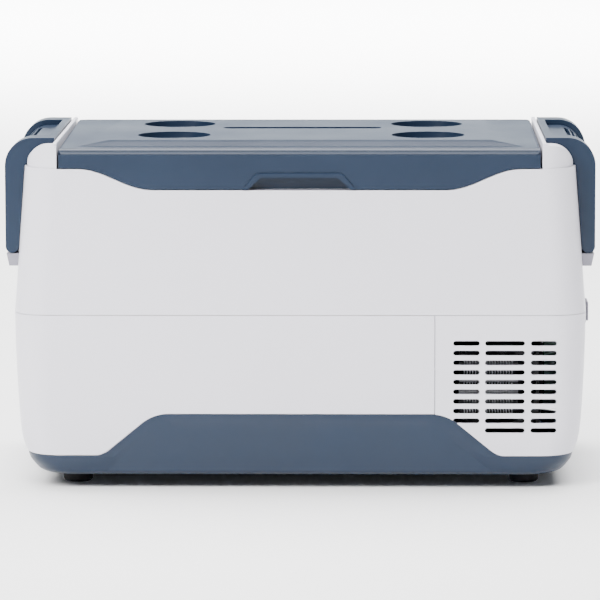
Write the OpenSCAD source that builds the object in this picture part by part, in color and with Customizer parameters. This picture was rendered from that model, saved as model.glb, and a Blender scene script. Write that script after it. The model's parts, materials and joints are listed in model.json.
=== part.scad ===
// Compressor cooler fridge: a top-opening portable fridge with two swing-out carry handles.
// Millimetres. Origin on the floor under the middle, +X to the right end, -Y is the front, +Z up.

/* [Body] */
// Width of the body at the seam between its two shells
body_w = 573; // [568:1:576]
// Depth of the body, front face to back face
body_d = 310; // [306:1:320]
// Width of the body at the top edge of the upper shell
top_w = 550; // [546:1:554]
// Wall thickness of the outer shells
wall = 3; // [2.5:0.5:3]
// Radius of the four upright corners
corner_r = 35; // [30:1:38]
// Left edge of the vent housing, right of the middle
split_x = 135; // [130:1:138]

/* [Heights] */
// Underside of the base above the floor
foot_h = 13.7; // [12:0.1:15]
// Top of the arch in the base
arch_z = 76.5; // [70:0.5:80]
// Seam between the lower and the upper shell
seam_z = 176; // [174:1:178]
// Top edge of the upper shell
rim_z = 323; // [321:1:325]
// Depth of the finger dip, from the rim to the middle of the lid skirt
skirt_drop = 21; // [18:1:22]

/* [Lid] */
// Width of the lid
lid_w = 479; // [476:1:479]
// Radius of a cup recess
cup_r = 37; // [34:0.5:38]
// Depth of a cup recess
cup_depth = 8; // [6:0.5:9]

/* [Handles] */
// Length of a handle along the depth of the body
handle_l = 240; // [230:1:240]
// Radius of the handle's outer bend
handle_r = 28; // [26:1:29]
// Radius of a handle pivot pin
pin_r = 2.5; // [2:0.1:2.6]

/* [Vents] */
// Number of slot rows
vent_rows = 10; // [6:1:10]
// Height of a slot
slot_h = 4.4; // [3:0.1:4.8]
// Distance between slot rows
slot_pitch = 9.75; // [9.5:0.05:9.8]

/* [Hidden] */
$fn = 48;
hull_fn = 32;
gap = 0.4;
over = 1;
fit = 0.06;

half_w = body_w / 2;
half_d = body_d / 2;
flare = (half_w - top_w / 2) / (rim_z - seam_z);
flare_deg = atan(flare);
function side_x(z) = half_w - flare * (z - seam_z);

// Lower shell outline: distance below the seam, and how far each side has pulled in there
lower_steps = [[0, 0], [35, 0.7], [80, 2.6], [122, 5.8], [141.5, 12]];
lower_h = lower_steps[4][0];
base_top = seam_z - lower_h;
// Base outline: distance below its top, side pull-in, front and back pull-in
base_steps = [[0, 12.2, 1], [6, 14.2, 1.2], [11.5, 18.2, 2.4], [16.5, 22.5, 4.5], [19.3, 28, 8],
    [base_top - foot_h - 0.5, 35, 13]];
arch_low_z = base_top - 0.5;
arch_foot_x = 198;
arch_top_x = 146;
arch_r = 42;
arch_foot_r = 26;
arch_lap = 6;

deck_z = rim_z - 4;
deck_t = 3.5;
deck_front = half_d - 12.5;
lid_half = lid_w / 2;
lid_front = half_d;
lid_back = half_d - 17;
lid_bottom = rim_z + 0.8;
lid_edge_z = rim_z + 19.5;
lid_top_z = rim_z + 23.5;
lid_wall = 2.5;
crown_half = 192;
crown_slope = 26;
crown_front = half_d - 25;
crown_back = lid_back - 4;
lid_rise_deg = atan((lid_top_z - lid_edge_z) / (lid_back + lid_front));
skirt_end_x = 220;
skirt_mid_x = 146;
skirt_z = rim_z - skirt_drop;
cup_x = 129;
cup_front_y = -45;
cup_back_y = 81;
groove_y = 36.6;
groove_l = 164;
groove_w = 18;
groove_depth = 2.4;
pull_top_z = skirt_z + 12;
pull_half_top = 38;
pull_half_low = 52;
pull_depth = 7.5;
pull_wall = 2;
lip_w = 6;
lip_t = 1.5;

// Tub opening and its deep part, as low and high corners in plan
tub_x = 224;
tub_y0 = -130;
tub_y1 = 120;
tub_wall = 2;
tub_r = 18;
deep_x1 = 114;
tub_floor = 58;
step_floor = 192;
tub_flange = 8;
evap_z0 = 80;
evap_z1 = 185;
evap_tube_r = 3;

shoulder_x0 = 241;
shoulder_w = 31.5;
shoulder_top = rim_z + 22;
shoulder_r = 24;
shoulder_plan_r = 33;
rim_strip_w = 4;
rim_strip_z = rim_z + 25;
pocket_z = rim_z + 15;
pocket_half = handle_l / 2 + 1.5;
shoulder_x1 = shoulder_x0 + shoulder_w;

handle_x = 295.3;
handle_top = rim_z + 27.2;
handle_in = shoulder_x0 + 4.6;
arm_w = 30;
panel_drop = 5.5;
panel_low = rim_z - 23;
grip_slots = [74, 57.5, 41];
grip_slot_depth = 4;
grip_slot_half = 2.4;
pivot_z = seam_z + 65.2;
pivot_x = 288.7;
pivot_r = 6.6;
lug_w = 13;
pin_l = 39;
pin_end = handle_l / 2 - 4;

comp_x = 198;
comp_y = 30;
comp_r = 52;
fan_x = 200;
fan_z = 98;
fan_y = -104;
fan_r = 36;
hinge_x = 150;
hinge_y = half_d - 10;
hinge_z = rim_z + 9;
hinge_r = 5;
hinge_pin_r = 2;
panel_z = rim_z - 61;
panel_l = 96;
panel_h = 44;
socket_z = seam_z - 15;
socket_l = 40;
socket_h = 22;
feet = [[-226, -97], [226, -97], [-226, 97], [226, 97]];
foot_r = 15;
foot_screw_r = 2.1;
screw_seat_z = 8;
base_screws_x = [-150, 0, 150];
base_screw_y = 120;
base_screw_r = 1.6;

// ---- shared shapes ----

module rrect(w, d, r) {
    square([w - 2 * r, d], center = true);
    square([w, d - 2 * r], center = true);
    for (sx = [-1, 1], sy = [-1, 1])
        translate([sx * (w / 2 - r), sy * (d / 2 - r)]) circle(r);
}

// Rounded bar between two corners in plan
module rbox(x0, x1, y0, y1, z0, z1, r)
    translate([(x0 + x1) / 2, (y0 + y1) / 2, z0])
        linear_extrude(z1 - z0) rrect(x1 - x0, y1 - y0, r);

module box(x0, x1, y0, y1, z0, z1)
    translate([x0, y0, z0]) cube([x1 - x0, y1 - y0, z1 - z0]);

module plate(w, d, r, z)
    translate([0, 0, z]) linear_extrude(0.02) rrect(w, d, r, $fn = hull_fn);

module bar_y(r, y0, y1, x, z)
    translate([x, y0, z]) rotate([-90, 0, 0]) cylinder(h = y1 - y0, r = r);

module bar_x(r, x0, x1, y, z)
    translate([x0, y, z]) rotate([0, 90, 0]) cylinder(h = x1 - x0, r = r);

// A front-view outline given depth from y0 to y1
module front_cut(y0, y1)
    translate([0, y1, 0]) rotate([90, 0, 0]) linear_extrude(y1 - y0) children();

// ---- outer forms ----

module lower_form(inset, more)
    hull() {
        plate(2 * (half_w - inset), body_d - 2 * inset, corner_r - inset, seam_z - gap + more);
        for (s = lower_steps)
            plate(2 * (half_w - s[1] - inset), body_d - 2 * inset, corner_r - inset,
                seam_z - gap - s[0] * (1 - gap / lower_h));
        plate(2 * (half_w - lower_steps[4][1] - inset), body_d - 2 * inset, corner_r - inset,
            base_top - more);
    }

module lower_skin()
    difference() {
        lower_form(0, 0);
        lower_form(wall, over);
        front_cut(-half_d - over, half_d + over) arch();
    }

module arch_line(lap)
    offset(r = arch_r) offset(r = -arch_r)
    offset(r = -arch_foot_r) offset(r = arch_foot_r)
    offset(delta = lap)
        polygon([[-400, -200], [400, -200], [400, arch_low_z], [arch_foot_x, arch_low_z],
            [arch_top_x, arch_z], [-arch_top_x, arch_z], [-arch_foot_x, arch_low_z],
            [-400, arch_low_z]]);

module arch() arch_line(0);

module base_form(inset)
    hull()
        for (s = base_steps)
            plate(2 * (half_w - s[1] - inset), body_d - 2 * s[2] - 2 * inset, corner_r - inset,
                base_top - 0.5 - s[0] + (inset > 0 ? inset : 0));

module base_tray()
    color([0.32, 0.40, 0.49])
    difference() {
        union() {
            difference() {
                base_form(0);
                base_form(wall);
            }
            for (s = [-1, 1])
                translate([0, s * (half_d - 4.8), 0])
                    intersection() {
                        front_cut(-1.4, 1.4) arch_line(arch_lap);
                        box(-220, 220, -2, 2, base_top - 8, arch_z + arch_lap);
                    }
            for (f = feet)
                translate([f[0], f[1], foot_h + 1]) cylinder(h = 7, r = 8);
        }
        for (f = feet)
            translate([f[0], f[1], foot_h - 1]) cylinder(h = 12, r = foot_screw_r);
        for (x = base_screws_x, s = [-1, 1])
            translate([x, s * base_screw_y, foot_h - 1]) cylinder(h = wall + 2, r = base_screw_r + fit);
    }

module lower_shell()
    color([0.83, 0.83, 0.85])
    intersection() {
        lower_skin();
        box(-half_w - over, split_x - gap, -half_d - over, half_d + over, 0, seam_z + over);
    }

// One row of three slots, from left to right
slot_spans = [[153.5, 178.5], [185.5, 223.5], [231, 255.5]];
slot_top = 148;

module slot(x0, x1, z) {
    r = slot_h / 2;
    translate([x0 + r, z - r]) square([x1 - x0 - slot_h, slot_h]);
    for (x = [x0 + r, x1 - r]) translate([x, z]) circle(r, $fn = 24);
}

module slots(first)
    for (k = [0 : vent_rows - 1], i = [0 : 2])
        if (k < vent_rows - 1 || i > first)
            slot(slot_spans[i][0], slot_spans[i][1], slot_top - k * slot_pitch);

module vent_housing()
    color([0.83, 0.83, 0.85])
    difference() {
        intersection() {
            lower_skin();
            box(split_x + gap, half_w + over, -half_d - over, half_d + over, 0, seam_z + over);
        }
        front_cut(-half_d - over, -half_d + wall + over) slots(0);
        box(156, 250, half_d - wall - over, half_d + over, 58, 152);
        box(half_w - 12, half_w + over, -socket_l / 2 + 3, socket_l / 2 - 3,
            socket_z - socket_h / 2 + 3, socket_z + socket_h / 2 - 3);
    }

module rear_grille()
    color([0.83, 0.83, 0.85])
    difference() {
        union() {
            translate([203, 0, 105]) rotate([-90, 0, 0]) translate([0, 0, half_d + 0.1])
                linear_extrude(lip_t - 0.1) rrect(108, 106, 6);
            box(157, 249, half_d - wall, half_d + 0.5, 59, 151);
        }
        for (k = [0 : 8])
            box(162, 244, half_d - wall - over, half_d + 2 * over, 64.4 + k * 9.6, 68.4 + k * 9.6);
    }

// Height of the lid skirt's lower edge at a distance from the middle
function skirt_line(x) =
    let (t = min(1, max(0, (skirt_end_x - abs(x)) / (skirt_end_x - skirt_mid_x))))
    rim_z - skirt_drop * (1 - cos(180 * t)) / 2;

module skirt_outline(drop, half)
    polygon(concat([for (x = [-half : half / 60 : half + 0.001]) [x, skirt_line(x) - drop]],
        [[half, rim_z + 30], [-half, rim_z + 30]]));

module upper_form(inset, more)
    hull() {
        plate(2 * (side_x(seam_z + gap - more) - inset), body_d - 2 * inset,
            corner_r - inset, seam_z + gap - more);
        plate(2 * (side_x(rim_z + more) - inset), body_d - 2 * inset,
            corner_r - inset, rim_z - 0.02 + more);
    }

module upper_shell()
    color([0.86, 0.86, 0.88])
    difference() {
        upper_form(0, 0);
        upper_form(wall, over);
        front_cut(-half_d - over, -half_d + 2 * wall) skirt_outline(0.9, shoulder_x0);
        on_right_side(panel_z)
            cube([20, panel_l - 8, panel_h - 8], center = true);
    }

// Local frame on the right side face: +X outwards, Y along the depth, Z up the face
module on_right_side(z)
    translate([side_x(z), 0, z]) rotate([0, -flare_deg, 0]) children();

module top_deck()
    color([0.80, 0.81, 0.83])
    difference() {
        union() {
            rbox(-top_w / 2 + 4, top_w / 2 - 4, -half_d + 3.5, half_d - 3.5, deck_z - deck_t, deck_z,
                corner_r - 4);
            box(-226, 226, -deck_front, -deck_front + 2.5, skirt_z - 5, deck_z);
            box(-226, 226, -half_d + 3.5, -deck_front + 1, skirt_z - 5, skirt_z - 2.5);
        }
        rbox(-tub_x - 1, tub_x + 1, tub_y0 - 1, tub_y1 + 1, deck_z - 2 * deck_t, deck_z + over, tub_r);
        box(-226, 226, -half_d - over, -deck_front, skirt_z - 2.5, deck_z + over);
    }

// ---- shoulders ----

module shoulder_outline(top, r)
    intersection() {
        translate([shoulder_x0, deck_z + 0.2]) square([shoulder_w, top - deck_z - 0.2]);
        union() {
            square([shoulder_x1 - r, top]);
            square([shoulder_x1, top - r]);
            translate([shoulder_x1 - r, top - r]) circle(r);
        }
    }

module right_shoulder_solid()
    difference() {
        intersection() {
            union() {
                front_cut(-half_d + 0.4, half_d - 0.4) shoulder_outline(shoulder_top, shoulder_r);
                box(shoulder_x0, shoulder_x0 + rim_strip_w, -half_d + 4, half_d - 4,
                    deck_z + 0.2, rim_strip_z);
            }
            union() {
                rbox(-shoulder_x1, shoulder_x1, -half_d + 0.4, half_d - 0.4, rim_z + 0.1, 2 * rim_z,
                    shoulder_plan_r);
                rbox(-top_w / 2 + wall + 0.5, top_w / 2 - wall - 0.5, -half_d + wall + 0.5,
                    half_d - wall - 0.5, 0, rim_z + over, corner_r - wall - 1);
            }
        }
        difference() {
            box(shoulder_x0 + rim_strip_w, shoulder_x1 + over, -pocket_half, pocket_half,
                deck_z + 2, 2 * rim_z);
            front_cut(-half_d, half_d) shoulder_outline(pocket_z, shoulder_r - 2.4);
        }
        box(shoulder_x0 + wall, shoulder_x1 - wall - 3, -half_d + 12, half_d - 12,
            deck_z, pocket_z - 8);
    }

module right_shoulder() color([0.84, 0.84, 0.87]) right_shoulder_solid();
module left_shoulder() color([0.84, 0.84, 0.87]) mirror([1, 0, 0]) right_shoulder_solid();

// ---- tub ----

module tub_outer(grow) {
    rbox(-tub_x - grow, deep_x1 + grow, tub_y0 - grow, tub_y1 + grow, tub_floor - grow,
        deck_z + over, tub_r + grow);
    rbox(deep_x1 - 2 * tub_r, tub_x + grow, tub_y0 - grow, tub_y1 + grow, step_floor - grow,
        deck_z + over, tub_r + grow);
}

module tub_liner()
    color([0.90, 0.91, 0.92])
    difference() {
        union() {
            tub_outer(0);
            rbox(-tub_x - tub_flange, tub_x + tub_flange, tub_y0 - tub_flange,
                tub_y1 + tub_flange, deck_z, deck_z + 1.5, tub_r + tub_flange);
        }
        rbox(-tub_x + tub_wall, deep_x1 - tub_wall, tub_y0 + tub_wall, tub_y1 - tub_wall,
            tub_floor + tub_wall, rim_z + over, tub_r - tub_wall);
        rbox(deep_x1 - 2 * tub_r, tub_x - tub_wall, tub_y0 + tub_wall, tub_y1 - tub_wall,
            step_floor + tub_wall, rim_z + over, tub_r - tub_wall);
    }

module tub_foam()
    color([0.93, 0.86, 0.62])
    difference() {
        union() {
            rbox(-266, 256, -deck_front + 3, deck_front - 1.5, seam_z + 3, deck_z - deck_t - 0.5, 26);
            rbox(-262, split_x - 5, -147, 147, base_top - 3, seam_z + 3, 26);
        }
        tub_outer(0.3);
        rbox(-tub_x - 9, deep_x1 + 9, tub_y0 - 9, tub_y1 + 9, evap_z0 - 2, evap_z1 + 2, tub_r + 9);
    }

module evaporator_sheet()
    color([0.75, 0.76, 0.78])
    difference() {
        rbox(-tub_x - 1.1, deep_x1 + 1.1, tub_y0 - 1.1, tub_y1 + 1.1, evap_z0, evap_z1, tub_r + 1.1);
        rbox(-tub_x - 0.1, deep_x1 + 0.1, tub_y0 - 0.1, tub_y1 + 0.1, evap_z0 - over,
            evap_z1 + over, tub_r + 0.1);
    }

// A closed loop of round bar, with rounded corners, on the line between the given sides
module round_loop(x0, x1, y0, y1, corner, bar_r, z) {
    for (y = [y0, y1]) bar_x(bar_r, x0 + corner, x1 - corner, y, z);
    for (x = [x0, x1]) bar_y(bar_r, y0 + corner, y1 - corner, x, z);
    for (c = [[x1 - corner, y1 - corner, 0], [x0 + corner, y1 - corner, 90],
            [x0 + corner, y0 + corner, 180], [x1 - corner, y0 + corner, 270]])
        translate([c[0], c[1], z]) rotate([0, 0, c[2]])
            rotate_extrude(angle = 90) translate([corner, 0]) circle(bar_r, $fn = 24);
}

evap_out = 1.2 + evap_tube_r;
evap_turns = 4;
evap_pitch = 27;

module evaporator_tube()
    color([0.72, 0.45, 0.30])
        for (k = [0 : evap_turns - 1])
            round_loop(-tub_x - evap_out, deep_x1 + evap_out, tub_y0 - evap_out,
                tub_y1 + evap_out, tub_r + evap_out, evap_tube_r,
                evap_z0 + 12 + k * evap_pitch);

// Wire basket for the deep part: rings of thick wire with straight corners, and uprights and
// floor bars of thin wire inside them. Each bar is a separate length, a hair from its neighbour.
ring_wire = 1.8;
thin_wire = 1.2;
wire_gap = 0.05;
basket_x0 = -214;
basket_x1 = 104;
basket_y0 = -120;
basket_y1 = 110;
basket_r = 8;
basket_z0 = tub_floor + 6;
basket_z1 = tub_floor + 180;
wire_in = ring_wire + thin_wire + wire_gap;
wire_end = ring_wire * tan(22.5) + wire_gap;

module upright(x, y)
    translate([x, y, basket_z0 - 1]) cylinder(h = basket_z1 - basket_z0 + 2, r = thin_wire, $fn = 24);

module basket_ring(z) {
    far = basket_r + wire_end;
    diagonal = basket_r * sqrt(2) - 2 * wire_end;
    for (y = [basket_y0, basket_y1]) bar_x(ring_wire, basket_x0 + far, basket_x1 - far, y, z, $fn = 24);
    for (x = [basket_x0, basket_x1]) bar_y(ring_wire, basket_y0 + far, basket_y1 - far, x, z, $fn = 24);
    for (c = [[basket_x1, basket_y1, 1, 1], [basket_x0, basket_y1, -1, 1],
            [basket_x0, basket_y0, -1, -1], [basket_x1, basket_y0, 1, -1]])
        translate([c[0] - c[2] * basket_r / 2, c[1] - c[3] * basket_r / 2, z])
            rotate([0, 0, -45 * c[2] * c[3]])
                bar_x(ring_wire, -diagonal / 2, diagonal / 2, 0, 0, $fn = 24);
}

module wire_basket()
    color([0.88, 0.89, 0.90]) {
        for (z = [basket_z0, (basket_z0 + basket_z1) / 2, basket_z1]) basket_ring(z);
        for (k = [1 : 9]) {
            x = basket_x0 + k * (basket_x1 - basket_x0) / 10;
            bar_y(thin_wire, basket_y0, basket_y1, x, basket_z0 + wire_in, $fn = 24);
            for (y = [basket_y0 + wire_in, basket_y1 - wire_in]) upright(x + 4, y);
        }
        for (k = [1 : 6], x = [basket_x0 + wire_in, basket_x1 - wire_in])
            upright(x, basket_y0 + k * (basket_y1 - basket_y0) / 7);
    }

module interior_lamp()
    color([0.95, 0.95, 0.92])
        translate([168, tub_y1 - tub_wall - 0.1, 285]) rotate([90, 0, 0])
            linear_extrude(4) rrect(46, 14, 6);

// ---- compressor compartment ----

module partition()
    color([0.70, 0.71, 0.73]) {
        box(split_x - 3, split_x - 1.5, -146, 146, 22, seam_z + 1);
        box(split_x - 3, 262, -141, 141, seam_z + 1, seam_z + 2.5);
    }

plate_z = foot_h + wall;
plate_t = 2;
mount_spots = [[-40, -44], [40, -44], [-40, 44], [40, 44]];

module compressor_plate()
    color([0.55, 0.56, 0.58])
    difference() {
        box(comp_x - 56, comp_x + 46, comp_y - 55, comp_y + 55, plate_z, plate_z + plate_t);
        for (m = mount_spots)
            translate([comp_x + m[0], comp_y + m[1], 0]) cylinder(h = base_top, r = 3.1);
    }

module compressor_mounts()
    color([0.12, 0.12, 0.13])
        for (m = mount_spots)
            translate([comp_x + m[0], comp_y + m[1], 0]) {
                translate([0, 0, plate_z + plate_t])
                    cylinder(h = base_top - 3 - plate_z - plate_t, r = 8);
                translate([0, 0, plate_z]) cylinder(h = 3, r = 3);
            }

module compressor()
    color([0.13, 0.13, 0.14]) {
        translate([comp_x, comp_y, base_top + 2])
            rotate_extrude()
                intersection() {
                    translate([0, 0]) square([comp_r, 110]);
                    translate([0, 55]) offset(r = 22) square([2 * comp_r - 44, 66], center = true);
                }
        difference() {
            translate([comp_x, comp_y, base_top - 3]) linear_extrude(2.2) rrect(104, 104, 12);
            for (m = mount_spots)
                translate([comp_x + m[0], comp_y + m[1], 0]) cylinder(h = 3 * base_top, r = 3);
        }
        translate([comp_x, comp_y, base_top - 1]) cylinder(h = 8, r = 30);
    }

module terminal_cover()
    color([0.20, 0.20, 0.21])
        box(comp_x - 22, comp_x + 22, comp_y + comp_r + 0.3, comp_y + comp_r + 22, 60, 100);

module filter_drier()
    color([0.72, 0.45, 0.30])
        translate([152, 100, 60])
            rotate_extrude() {
                square([7, 62]);
                translate([0, -12]) square([2.5, 86]);
            }

pipe_r = 3;
pipe_bend = 12;
pipe_z = base_top + 112.2;

module refrigerant_pipes()
    color([0.72, 0.45, 0.30]) {
        translate([comp_x, comp_y, pipe_z]) cylinder(h = 6, r = pipe_r);
        translate([comp_x - pipe_bend, comp_y, pipe_z + 6])
            rotate([90, 0, 0]) rotate_extrude(angle = 90)
                translate([pipe_bend, 0]) circle(pipe_r, $fn = 24);
        bar_x(pipe_r, comp_x - 46, comp_x - pipe_bend, comp_y, pipe_z + 6 + pipe_bend);
    }

fin_x = 164.2;

module condenser()
    color([0.70, 0.72, 0.74]) {
        for (k = [0 : 17])
            box(fin_x + k * 2.8, fin_x + k * 2.8 + 0.8, -148, -122, 77, 131);
        for (z = [84, 97, 110, 123], y = [-142, -128])
            bar_x(3, fin_x - 5, fin_x + 54, y, z);
    }

module fan_frame()
    color([0.15, 0.15, 0.16]) {
        difference() {
            box(fan_x - 40, fan_x + 40, fan_y - 10, fan_y + 10, fan_z - 40, fan_z + 40);
            bar_y(fan_r + 2, fan_y - 11, fan_y + 11, fan_x, fan_z);
            for (sx = [-1, 1], sz = [-1, 1])
                bar_y(2.2, fan_y - 11, fan_y + 11, fan_x + sx * 35.5, fan_z + sz * 35.5);
        }
        bar_y(13, fan_y + 6.5, fan_y + 9.5, fan_x, fan_z);
        for (a = [30 : 120 : 270])
            translate([fan_x, fan_y + 6.5, fan_z]) rotate([0, a, 0]) box(8, 39, 0, 3, -2, 2);
        bar_y(1.5, fan_y - 6, fan_y + 7, fan_x, fan_z);
    }

module fan_rotor()
    color([0.10, 0.10, 0.11])
    difference() {
        union() {
            bar_y(13, fan_y - 8, fan_y + 5.5, fan_x, fan_z);
            intersection() {
                bar_y(fan_r, fan_y - 8, fan_y + 5.5, fan_x, fan_z);
                for (a = [0 : 360 / 7 : 350])
                    translate([fan_x, fan_y - 1.2, fan_z]) rotate([0, a, 0]) rotate([38, 0, 0])
                        box(8, fan_r + 4, -0.8, 0.8, -8, 8);
            }
        }
        bar_y(1.5 + fit, fan_y - 6, fan_y + 7, fan_x, fan_z);
    }

module control_board()
    color([0.10, 0.36, 0.22]) {
        box(155, 255, 120, 121.6, 50, 140);
        box(165, 190, 112, 120.2, 60, 90);
        box(205, 245, 110, 120.2, 100, 128);
        for (x = [205, 220, 235]) bar_y(5, 104, 120.2, x, 70);
        for (x = [162, 240], z = [92, 134]) bar_y(2.5, 121.4, half_d - wall, x, z);
    }

// ---- control panel on the right end ----

buttons_y = [-36, -14, 8, 30];
button_r = 4.6;
button_z = -11;
button_travel = 1;

module control_bezel()
    color([0.11, 0.12, 0.14])
        on_right_side(panel_z)
            difference() {
                union() {
                    translate([0.1, 0, 0]) rotate([90, 0, 90])
                        linear_extrude(1.6) rrect(panel_l, panel_h, 8);
                    translate([-5.4, 0, 0]) rotate([90, 0, 90])
                        linear_extrude(6) rrect(panel_l - 9, panel_h - 9, 5);
                }
                for (y = buttons_y)
                    translate([-10, y, button_z]) rotate([0, 90, 0])
                        cylinder(h = 20, r = button_r + 0.3);
                translate([-10, -22, -2.5]) cube([20, 44, 15]);
            }

module display_board()
    color([0.10, 0.36, 0.22])
        on_right_side(panel_z) {
            translate([-9, -41, -17]) cube([1.6, 82, 34]);
            for (y = buttons_y)
                translate([-7.5, y - 3, button_z - 3]) cube([1.2, 6, 6]);
        }

module display_window()
    color([0.03, 0.04, 0.06])
        on_right_side(panel_z)
            translate([-1.6, -21.8, -2.3]) cube([2.8, 43.6, 14.6]);

module button(i)
    color([0.75, 0.76, 0.78])
        on_right_side(panel_z)
            translate([-5, buttons_y[i], button_z]) rotate([0, 90, 0])
                cylinder(h = 7.6, r = button_r);

module power_button() button(0);
module set_button() button(1);
module up_button() button(2);
module down_button() button(3);

// ---- power socket on the right end ----

socket_x = 294.4;
socket_hinge_z = socket_z + socket_h / 2 - 1.5;

module power_socket()
    color([0.12, 0.12, 0.13])
    difference() {
        union() {
            translate([0, 0, socket_z]) rotate([90, 0, 90]) translate([0, 0, side_x(seam_z) + 0.2])
                linear_extrude(socket_x - 2.6 - side_x(seam_z)) rrect(socket_l, socket_h, 4);
            box(270, half_w + 1, -socket_l / 2 + 4, socket_l / 2 - 4,
                socket_z - socket_h / 2 + 4, socket_z + socket_h / 2 - 4);
        }
        box(276, 300, -11, 11, socket_z - 5.5, socket_z + 4.5);
    }

module socket_pins()
    color([0.85, 0.75, 0.45])
        for (y = [-5, 5])
            bar_x(1.5, 276, 284, y, socket_z - 0.5);

module socket_cover()
    color([0.16, 0.16, 0.17]) {
        box(socket_x - 2, socket_x, -16, 16, socket_z - 9, socket_hinge_z);
        bar_y(1, -16, 16, socket_x - 1, socket_hinge_z);
    }

// ---- handles ----

module bend_outline(shrink) {
    r = handle_r - shrink;
    x1 = handle_x - shrink;
    z1 = handle_top - shrink;
    translate([handle_in, pivot_z]) square([x1 - r - handle_in, z1 - pivot_z]);
    translate([handle_in, pivot_z]) square([x1 - handle_in, z1 - r - pivot_z]);
    translate([x1 - r, z1 - r]) intersection() {
        circle(r);
        square(r);
    }
}

// The space of the shoulder and body side that a handle lies against
module rest_outline() {
    clear = 0.6;
    r = shoulder_r - 2.4 + clear;
    z1 = pocket_z + clear;
    square([shoulder_x1 + clear - r, z1]);
    translate([shoulder_x1 + clear - r, z1 - r]) circle(r);
    square([shoulder_x1 + clear, z1 - r]);
    polygon([[0, 0], [side_x(pivot_z - 30) + clear, pivot_z - 30],
        [side_x(rim_z + clear) + clear, rim_z + clear], [0, rim_z + clear]]);
}

module arm_outline(shrink)
    difference() {
        bend_outline(shrink);
        rest_outline();
    }

module right_handle_solid() {
    arm_y = handle_l / 2 - arm_w;
    difference() {
        union() {
            for (s = [-1, 1])
                front_cut(s > 0 ? arm_y : -handle_l / 2, s > 0 ? handle_l / 2 : -arm_y) {
                    arm_outline(0);
                    translate([pivot_x, pivot_z]) circle(pivot_r);
                }
            difference() {
                front_cut(-arm_y, arm_y) arm_outline(panel_drop);
                box(200, 300, -arm_y, arm_y, 0, panel_low);
            }
            box(handle_in, handle_in + 7, -arm_y, arm_y, handle_top - panel_drop - 2, handle_top);
        }
        for (a = grip_slots)
            translate([handle_x - handle_r, 0, handle_top - handle_r]) rotate([0, -a, 0])
                box(handle_r - panel_drop - grip_slot_depth, handle_r, -50, 50, -grip_slot_half,
                    grip_slot_half);
        bar_y(pin_r + fit, -pin_end - over, pin_end + over, pivot_x, pivot_z);
    }
}

module right_handle() color([0.30, 0.38, 0.47]) right_handle_solid();
module left_handle() color([0.30, 0.38, 0.47]) mirror([1, 0, 0]) right_handle_solid();

lug_out = handle_l / 2 - arm_w - 0.5;
bracket_top = pivot_z - pivot_r - 0.6;
bracket_low = bracket_top - 12.5;

module right_bracket_solid()
    difference() {
        union() {
            front_cut(-handle_l / 2 + 1, handle_l / 2 - 1)
                polygon([[side_x(bracket_low) + 0.1, bracket_low], [291.9, bracket_low],
                    [294.6, bracket_top], [side_x(bracket_top) + 0.1, bracket_top]]);
            for (s = [-1, 1])
                translate([0, s * (lug_out - lug_w / 2), 0]) {
                    bar_y(pivot_r - 0.2, -lug_w / 2, lug_w / 2, pivot_x, pivot_z);
                    box(side_x(bracket_top - 1) + 0.1, pivot_x + pivot_r - 0.7, -lug_w / 2, lug_w / 2,
                        bracket_top - 1, pivot_z);
                }
        }
        bar_y(pin_r, -handle_l, handle_l, pivot_x, pivot_z);
    }

module right_handle_bracket() color([0.76, 0.76, 0.80]) right_bracket_solid();
module left_handle_bracket() color([0.76, 0.76, 0.80]) mirror([1, 0, 0]) right_bracket_solid();

module handle_pins(side)
    color([0.62, 0.63, 0.65])
        for (s = [-1, 1])
            bar_y(pin_r, s > 0 ? pin_end - pin_l : -pin_end, s > 0 ? pin_end : -pin_end + pin_l,
                side * pivot_x, pivot_z);

module right_handle_pins() handle_pins(1);
module left_handle_pins() handle_pins(-1);

// ---- lid ----

// Flat top that rises from the front edge to the back, with a level crown on it
module lid_outer()
    union() {
        difference() {
            rbox(-lid_half, lid_half, -lid_front, lid_back, lid_bottom, lid_top_z, 5);
            translate([0, -lid_front, lid_edge_z]) rotate([lid_rise_deg, 0, 0])
                box(-lid_w, lid_w, -lid_w, lid_w, 0, 4 * wall);
        }
        hull() {
            translate([0, (crown_back - crown_front) / 2, 0])
                plate(2 * crown_half + 44, crown_back + crown_front, 8, lid_edge_z);
            translate([0, (crown_back - crown_front + crown_slope) / 2, 0])
                plate(2 * crown_half, crown_back + crown_front - crown_slope, 6, lid_top_z - 0.02);
        }
    }

module pull_outline(grow)
    polygon([[-pull_half_low - grow, skirt_z], [pull_half_low + grow, skirt_z],
        [pull_half_top + grow, pull_top_z + grow], [-pull_half_top - grow, pull_top_z + grow]]);

module at_cups()
    for (sx = [-1, 1], y = [cup_front_y, cup_back_y])
        translate([sx * cup_x, y, lid_top_z - cup_depth]) children();

module lid_shell()
    color([0.28, 0.36, 0.46])
    difference() {
        union() {
            difference() {
                union() {
                    lid_outer();
                    front_cut(-half_d, -half_d + lid_wall)
                        intersection() {
                            skirt_outline(0, lid_half - 0.6);
                            translate([-lid_half, 0]) square([lid_w, lid_edge_z - 4]);
                        }
                }
                rbox(-lid_half + lid_wall, lid_half - lid_wall, -lid_front + lid_wall,
                    lid_back - lid_wall, lid_bottom - over, lid_edge_z - lid_wall, 4);
            }
            at_cups() translate([0, 0, -lid_wall]) cylinder(h = cup_depth, r = cup_r + lid_wall);
            front_cut(-half_d, -half_d + pull_depth + pull_wall) pull_outline(pull_wall);
            front_cut(-half_d - lip_t, -half_d + 0.5) pull_outline(lip_w);
        }
        at_cups() cylinder(h = cup_depth + over, r = cup_r);
        front_cut(-half_d - 2 * lip_t, -half_d + pull_depth)
            union() {
                pull_outline(0);
                translate([-pull_half_low, skirt_z - over]) square([2 * pull_half_low, over]);
            }
        translate([0, groove_y, lid_top_z - groove_depth]) linear_extrude(groove_depth + over)
            rrect(groove_l, groove_w, groove_w / 2 - 0.1);
    }

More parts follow.
